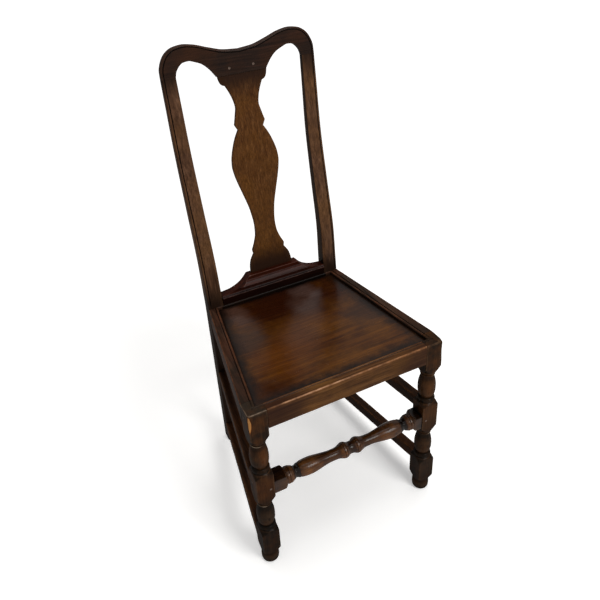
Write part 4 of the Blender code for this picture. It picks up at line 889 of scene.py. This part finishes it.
def vaseSplat():
    foot = Vector((0, chair["seatDepth"] + splat["footDepth"], rearSeat + splat["shoeHeight"]))
    head = crestPlace @ Vector((0, splat["topSetBack"], crest["under"][0][2] * mm))
    rise = head - foot
    place = Matrix.Translation(foot) @ Matrix.Rotation(-math.atan2(rise.y, rise.z), 4, "X")
    outline = withCorners(splat["outline"])
    length = rise.length - 0.0004
    thick = splat["thick"]
    rings = []
    for share in sorted(set(between(0, 1, 190)) | set(p[0] for p in splat["outline"])):
        half = outline(share) * splat["half"]
        z = share * length
        aside = 0.0014 * fade(share, 0.15, 0.8)     # the splat stands a little to the right
        sag = -0.0006 if share == 0 else 0
        front = [(-half + 0.0016, 0.2)] + [(half * s, 0) for s in between(-0.75, 0.75, 7)]
        front.append((half - 0.0016, 0.2))
        right = [(half - 0.0005, 0.0005, 0.6), (half, 0.0016, 0.3), (half, thick - 0.0016, 0.2),
                 (half - 0.0005, thick - 0.0005, 0.4), (half - 0.0016, thick, 0.2), (half * 0.3, thick, 0)]
        section = [(x, rough((x, 3, z), 0.05, 0.0004), w) for x, w in front]
        section += right + [(-x, y, w) for x, y, w in reversed(right)]
        rings.append([(*(place @ Vector((x + aside, y, z + sag))), w) for x, y, w in section])
    loft("splat", rings, "scrapedOakSplat")


shoe = {
    "half": 0.1364, "height": 0.060, "front": 0.3735, "back": 0.3970, "flatHalf": 0.0645,
    # front moulding from the rail up: height, how far it stands back, in mm
    "moulding": [(0.3, 0, 1), (16.6, 0.0, 1), (17.4, -1.2), (18.9, -1.9), (20.4, -1.9), (21.6, -1.0),
                 (22.3, 0.4, 1), (24.5, 1.9), (28.0, 2.9), (31.5, 2.6), (34.5, 0.8), (36.4, -3.2),
                 (37.2, -5.9, 1), (39.4, -8.1, 1), (43.5, -5.8), (48.0, -2.9, 1), (50.0, -0.9),
                 (53.0, 0.3), (57.0, 0.4), (59.0, 0.3), (60.0, 0.9)],
    # ramp at each end: share of the way to the post, share of the height
    "ramp": [(0, 1), (0.04, 0.945), (0.10, 0.86), (0.23, 0.70), (0.44, 0.55), (0.68, 0.46), (1, 0.42)],
}


def splatShoe():
    profile, ramp = withCorners(shoe["moulding"]), throughPoints(shoe["ramp"])
    height, reach = shoe["height"], shoe["half"] - shoe["flatHalf"]
    levels = sorted(set(p[0] for p in shoe["moulding"]) | set(between(0.3, 60.0, 58)))
    levels = [z * mm for z in levels]

    def whereRampIs(z):
        low, high = 0.0, 1.0
        for _ in range(40):
            middle = (low + high) / 2
            if ramp(middle) * height > z:
                low = middle
            else:
                high = middle
        return shoe["flatHalf"] + reach * low

    # columns of points from the middle outwards; on the ramps each one stops a level lower
    columns = [(x, len(levels) - 1) for x in between(0, shoe["flatHalf"], 20)]
    for k in range(len(levels) - 2, -1, -1):
        if levels[k] > ramp(1.0) * height + 0.0002:
            columns.append((whereRampIs(levels[k]), k))
    columns.append((shoe["half"], columns[-1][1]))
    both = [(-1, *c) for c in reversed(columns)] + [(1, *c) for c in columns[1:]]
    points, faces = [], []
    rows = len(levels) + 8
    for side, x, edge in both:
        along = (x - shoe["flatHalf"]) / reach
        top = min(levels[edge], ramp(along) * height if along > 0 else 1)
        start = shoe["front"] + profile(top / mm) * mm
        for k in range(rows):
            z, worn = top, 0
            if k <= edge:
                z = min(levels[k], top)
                y = shoe["front"] + profile(z / mm) * mm
                if abs(levels[k] - 0.0386) < 0.0012 or 0.0178 < levels[k] < 0.0212:
                    worn = 0.6
                # the ramp's top arris is worn, and at the start of the left ramp it carries a painted
                # highlight
                if k == edge:
                    worn = 0.9 + (0.9 if side < 0 and -0.05 < along < 0.25 else 0.0)
            elif k < rows - 2:
                y = start + (shoe["back"] - start) * ((k - edge) / (rows - 3 - edge)) ** 1.4
            else:
                y = shoe["back"]
                z = top * 0.5 if k == rows - 2 else 0.0003
            points.append((side * x, y, seatLevel(y) + z, worn))
    for c in range(len(both) - 1):
        a, b = c * rows, (c + 1) * rows
        for k in range(rows):
            n = (k + 1) % rows
            if both[c][2] == both[c + 1][2] or k == rows - 1:
                faces.append((a + k, b + k, b + n, a + n))
            elif both[c][0] > 0 or both[c + 1][2] < both[c][2]:
                faces += [(a + k, b + k, a + n), (b + k, b + n, a + n)]
            else:
                faces += [(a + k, b + k, b + n), (a + k, b + n, a + n)]
    faces.append(tuple(range(rows)))
    faces.append(tuple(reversed(range((len(both) - 1) * rows, len(both) * rows))))
    makePiece("splat_shoe", points, faces, "mouldedOakShoe", 32)


# stretchers

stretcher = {
    "axis": 0.2408, "depthHalf": 0.0178, "heightHalf": 0.0183, "middle": 0.0055, "end": 0.1839,
    "turnedHalf": 0.163,
    # places that stayed black: the neck behind each baluster, and the cuts beside the rings in mm
    "neck": (0.1268, 0.1398), "grooves": (12.6, 18.5, 127, 141.5, 151.4, 158.2),
    # distance from the middle groove, radius, both in mm
    "turning": [(0, 13.3), (3, 13.5), (6, 14.3), (9, 15.8), (11, 16.8), (12.2, 17.3), (12.6, 16.5),
                (13.2, 17.5), (15.5, 17.9), (18.0, 17.8), (18.5, 16.9), (19.1, 17.5), (21, 16.9),
                (23, 16.1), (26, 15.1), (29, 13.9), (32, 13.1), (40, 12.5), (50, 12.5), (60, 13.3),
                (70, 14.6), (80, 16.2), (90, 17.6), (100, 18.4), (108, 18.3), (118, 17.5),
                (124.5, 16.1), (127, 15.2), (127.6, 15.7), (129, 15.5), (130, 14.8), (132.5, 13.6),
                (135.5, 12.8), (137.5, 13.3), (139.5, 14.7), (141, 15.5), (141.5, 14.9),
                (142.2, 16.1), (144.5, 17.1), (147, 18.1), (149, 18.7), (150.8, 18.5), (151.4, 17.4),
                (152.2, 18.7), (155, 18.9), (157.0, 18.1), (158.2, 17.7), (160, 20.4), (163, 25.6)],
}


def frontStretcher():
    turning = throughPoints(stretcher["turning"])
    middle, end, turnedHalf = stretcher["middle"], stretcher["end"], stretcher["turnedHalf"]
    marks = [p[0] * mm for p in stretcher["turning"]] + between(0, turnedHalf, 120)
    places = [middle + m for m in marks] + [middle - m for m in marks]
    places += between(-end, middle - turnedHalf, 12) + between(middle + turnedHalf, end, 8)
    rings = []
    for x in sorted(set(round(p, 5) for p in places)):
        away = abs(x - middle)
        inNeck = stretcher["neck"][0] < away < stretcher["neck"][1]
        inGroove = min(abs(away - g * mm) for g in stretcher["grooves"]) < 0.0002
        ring = []
        for i in range(64):
            c, s = math.cos(2 * math.pi * i / 64), math.sin(2 * math.pi * i / 64)
            faces = [stretcher["depthHalf"] / abs(c)] if abs(c) > 0.02 else []
            faces += [stretcher["heightHalf"] / abs(s)] if abs(s) > 0.02 else []
            square = smallest(faces, 26)
            w = fade(max(abs(c), abs(s)), 0.78, 0.71) * 0.6     # worn arrises on the square ends
            r = square
            if away < turnedHalf:
                radius = turning(away / mm) * mm
                r = smallest([square, radius], 60) if radius > 0.0165 else radius
                w = w if square < radius else fade(radius, 0.0128, 0.0172) * 0.9 - 0.55
                w = -1.0 if inNeck or inGroove else w
            if r == square and s > 0.7:
                w = -0.75       # the tops of the square ends are darker
            r += rough((x, c * 0.02, s * 0.02), 0.02, 0.00025)
            ring.append((x, chair["legSquare"] / 2 + c * r, stretcher["axis"] + s * r, w))
        rings.append(ring)
    loft("front_stretcher", rings, "turnedOakStretcher", sharp=30)


plain = {"height": 0.029, "thick": 0.020, "inset": 0.0006, "near": 0.0411, "far": 0.3741,
         "levels": {"upper": (0.243, 0.055), "lower": (0.062, 0.06)},
         "rear": {"low": 0.150, "front": 0.3804, "thick": 0.016, "end": 0.1392}}


def barSection(width, height, r):
    # rectangle with worn arrises: across, up, wear
    section = []
    for corner, (cx, cy), flats in ((0, (1, 1), ((0.66, 1), (0.33, 1))), (1, (0, 1), ((0, 0.6), (0, 0.3))),
                                    (2, (0, 0), ((0.33, 0), (0.66, 0))), (3, (1, 0), ((1, 0.3), (1, 0.6)))):
        px, py = (width - r if cx else r), (height - r if cy else r)
        for step in (0, 1, 2):
            a = math.pi / 2 * corner + math.pi / 4 * step
            section.append((px + math.cos(a) * r, py + math.sin(a) * r, 0.9 if step == 1 else 0.3))
        section += [(fx * width, fy * height, 0) for fx, fy in flats]
    return section


def sideStretcher(side, name, level):
    low, fall = plain["levels"][level]
    front = chair["frontHalf"] - plain["inset"]
    rings = []
    for y in between(plain["near"], plain["far"], 46):
        share = (y - chair["legSquare"]) / (chair["seatDepth"] - chair["legSquare"])
        outer = front + (chair["rearHalf"] - front) * share
        bow = rough((y, side, low * 10), 0.08, 0.0007)
        ring = []
        for a, b, w in barSection(plain["thick"], plain["height"], 0.0016):
            dent = rough((a * 3 + side, y, b * 3 + low), 0.025, 0.0004)
            ring.append((side * (outer - a + bow + dent), y, low - fall * y + b + dent, w))
        rings.append(ring)
    loft(f"{name}_{level}_stretcher", rings, "sawnOakSideStretcher")


def rearStretcher():
    bar = plain["rear"]
    end = bar["end"] - 0.0009
    rings = []
    for x in between(-end, end, 40):
        ring = []
        for a, b, w in barSection(bar["thick"], plain["height"], 0.0015):
            ring.append((x, bar["front"] + a, bar["low"] + b + rough((x, a, b), 0.06, 0.0004), w))
        rings.append(ring)
    loft("rear_stretcher", rings, "sootyAndShadedOakRearRail")


# pegs

peg = {
    "radius": 0.0030, "sides": 20, "proud": 0.0005,
    # side pegs: depth and height; front and splat pegs: place across and height, the latter from
    # the crest's joint; last the length
    "seat_rail": (0.027, 0.4440, 0.0185),
    "side_stretcher": (0.0245, 0.2575, 0.0185),
    "front_stretcher": (0.1938, 0.2448, 0.0285),
    "splat": (0.028, 0.0004, 0.0134),
}


def ovalPeg(node, place, length):
    # a whittled peg, not quite round, with a domed head a hair proud of the face
    proud = peg["proud"]
    rings = []
    for depth, scale in ((length, 0.96), (length * 0.5, 1), (0.0002, 1), (-proud * 0.6, 0.93),
                         (-proud * 0.9, 0.75), (-proud, 0.4)):
        ring = []
        for i in range(peg["sides"]):
            a = 2 * math.pi * i / peg["sides"]
            r = peg["radius"] * scale * (1 + 0.05 * math.cos(5 * a) + 0.03 * math.cos(3 * a + 1))
            point = place @ Vector((r * math.cos(a), r * math.sin(a), depth))
            ring.append((*point, 0.5 if depth < 0 else 0.0))
        rings.append(ring)
    loft(node, rings, "whittledOakPeg")


def allPegs(side, name):
    inwards = Matrix.Rotation(-side * math.pi / 2, 4, "Y")
    backwards = Matrix.Rotation(-math.pi / 2, 4, "X")
    face = chair["frontHalf"] - peg["proud"]
    for joint in ("seat_rail", "side_stretcher", "front_stretcher", "splat"):
        a, z, length = peg[joint]
        if joint == "splat":
            place = crestPlace @ Matrix.Translation((side * a, 0, z)) @ backwards
        elif joint == "front_stretcher":
            place = Matrix.Translation((side * a, peg["proud"], z)) @ backwards
        else:
            place = Matrix.Translation((side * face, a, z)) @ inwards
        ovalPeg(f"{name}_{joint}_peg", place, length)


for name, side in (("left", -1), ("right", 1)):
    frontLeg(side, name)
    rearPost(side, name)
    sideRail(side, name)
    for level in plain["levels"]:
        sideStretcher(side, name, level)
    allPegs(side, name)
frontRail()
rearRail()
seatBoard()
crestRail()
vaseSplat()
splatShoe()
frontStretcher()
rearStretcher()


# studio

studio = {
    "floorSize": 14.0, "floorColour": "#f4f3f1", "nearGlow": 0.36, "farGlow": 0.95,
    "glowStart": 0.2, "glowEnd": 5.6, "worldLight": 0.22,
    "lamps": [
        # name, place, aimed at, size, watts
        ("window", (1.0, -2.6, 2.3), (0.0, 0.0, 0.5), 1.3, 66),
        ("ceiling", (0.2, 0.3, 3.2), (0.0, 0.0, 0.4), 2.4, 60),
    ],
}


def seenDirectly(tree):
    # 1 for what the camera sees, also by reflection or through glass, and 0 for light on things
    ray = addNode(tree, "LightPath", []).outputs
    seen = addNode(tree, "Math", [ray["Is Camera Ray"], ray["Is Glossy Ray"]], operation="MAXIMUM")
    return addNode(tree, "Math", [seen, ray["Is Transmission Ray"]], operation="MAXIMUM")


def plainFloor():
    # matt studio paper: even and pale, with a little glow to camera so that it reads as white
    size = studio["floorSize"]
    mesh = bpy.data.meshes.new("studioPaper")
    mesh.from_pydata([(-size, -size, 0), (size, -size, 0), (size, size, 0), (-size, size, 0)],
                     [], [(0, 1, 2, 3)])
    floor = bpy.data.objects.new("studioPaper", mesh)
    floor.location.z = cadLow.z
    bpy.context.scene.collection.objects.link(floor)
    material = bpy.data.materials.new("mattStudioPaper")
    tree = emptyTree(material)
    # far from the object, where the lamps no longer reach, the paper glows more
    place = addNode(tree, "TexCoord", []).outputs["Object"]
    away = addNode(tree, "VectorMath", [place], operation="LENGTH").outputs["Value"]
    rise = addNode(tree, "MapRange", [
        away, studio["glowStart"], studio["glowEnd"], studio["nearGlow"], studio["farGlow"]],
        interpolation_type="SMOOTHSTEP")
    glow = addNode(tree, "Math", [seenDirectly(tree), rise], operation="MULTIPLY")
    paper = addNode(tree, "BsdfDiffuse", [linear(studio["floorColour"])])
    light = addNode(tree, "Emission", {"Strength": glow})
    both = addNode(tree, "AddShader", [paper, light])
    addNode(tree, "OutputMaterial", [both])
    mesh.materials.append(material)


def whiteRoom():
    world = bpy.data.worlds.new("whiteRoom")
    bpy.context.scene.world = world
    tree = emptyTree(world)
    strength = addNode(tree, "MapRange", [seenDirectly(tree), 0.0, 1.0, studio["worldLight"], 1.0])
    background = addNode(tree, "Background", [(1, 1, 1, 1), strength])
    addNode(tree, "OutputWorld", [background])


def softLamps():
    for name, place, target, size, watts in studio["lamps"]:
        lamp = bpy.data.lights.new(name, "AREA")
        lamp.shape = "SQUARE"
        lamp.size = size
        lamp.energy = watts
        holder = bpy.data.objects.new(name, lamp)
        holder.location = place
        aim = Vector(target) - Vector(place)
        holder.rotation_euler = aim.to_track_quat("-Z", "Y").to_euler()
        bpy.context.scene.collection.objects.link(holder)


view = {
    # where the photographer stood and how the picture was framed
    "place": (-0.4721, -0.8261, 1.3792), "azimuth": -23.67, "elevation": 30.2, "roll": -3.64,
    "lens": 38.265, "shiftX": 0.0143, "shiftY": -0.1246,
}


def photoCamera():
    azimuth, elevation, roll = (math.radians(view[k]) for k in ("azimuth", "elevation", "roll"))
    back = Vector((math.sin(azimuth) * math.cos(elevation), -math.cos(azimuth) * math.cos(elevation),
                   math.sin(elevation)))
    level = (-back).cross(Vector((0, 0, 1))).normalized()
    upright = level.cross(-back)
    right = level * math.cos(roll) + upright * math.sin(roll)
    up = upright * math.cos(roll) - level * math.sin(roll)
    x, y, z = view["place"]
    camera = bpy.data.cameras.new("photoCamera")
    camera.sensor_width = 36
    camera.lens = view["lens"]
    camera.shift_x = view["shiftX"]
    camera.shift_y = view["shiftY"]
    camera.clip_start = 0.02
    holder = bpy.data.objects.new("photoCamera", camera)
    holder.matrix_world = Matrix((
        (right.x, up.x, back.x, x), (right.y, up.y, back.y, y + frontY),
        (right.z, up.z, back.z, z), (0, 0, 0, 1)))
    bpy.context.scene.collection.objects.link(holder)
    bpy.context.scene.camera = holder


plainFloor()
whiteRoom()
softLamps()
photoCamera()
bpy.context.scene.view_settings.view_transform = "Standard"
print("studio ready")
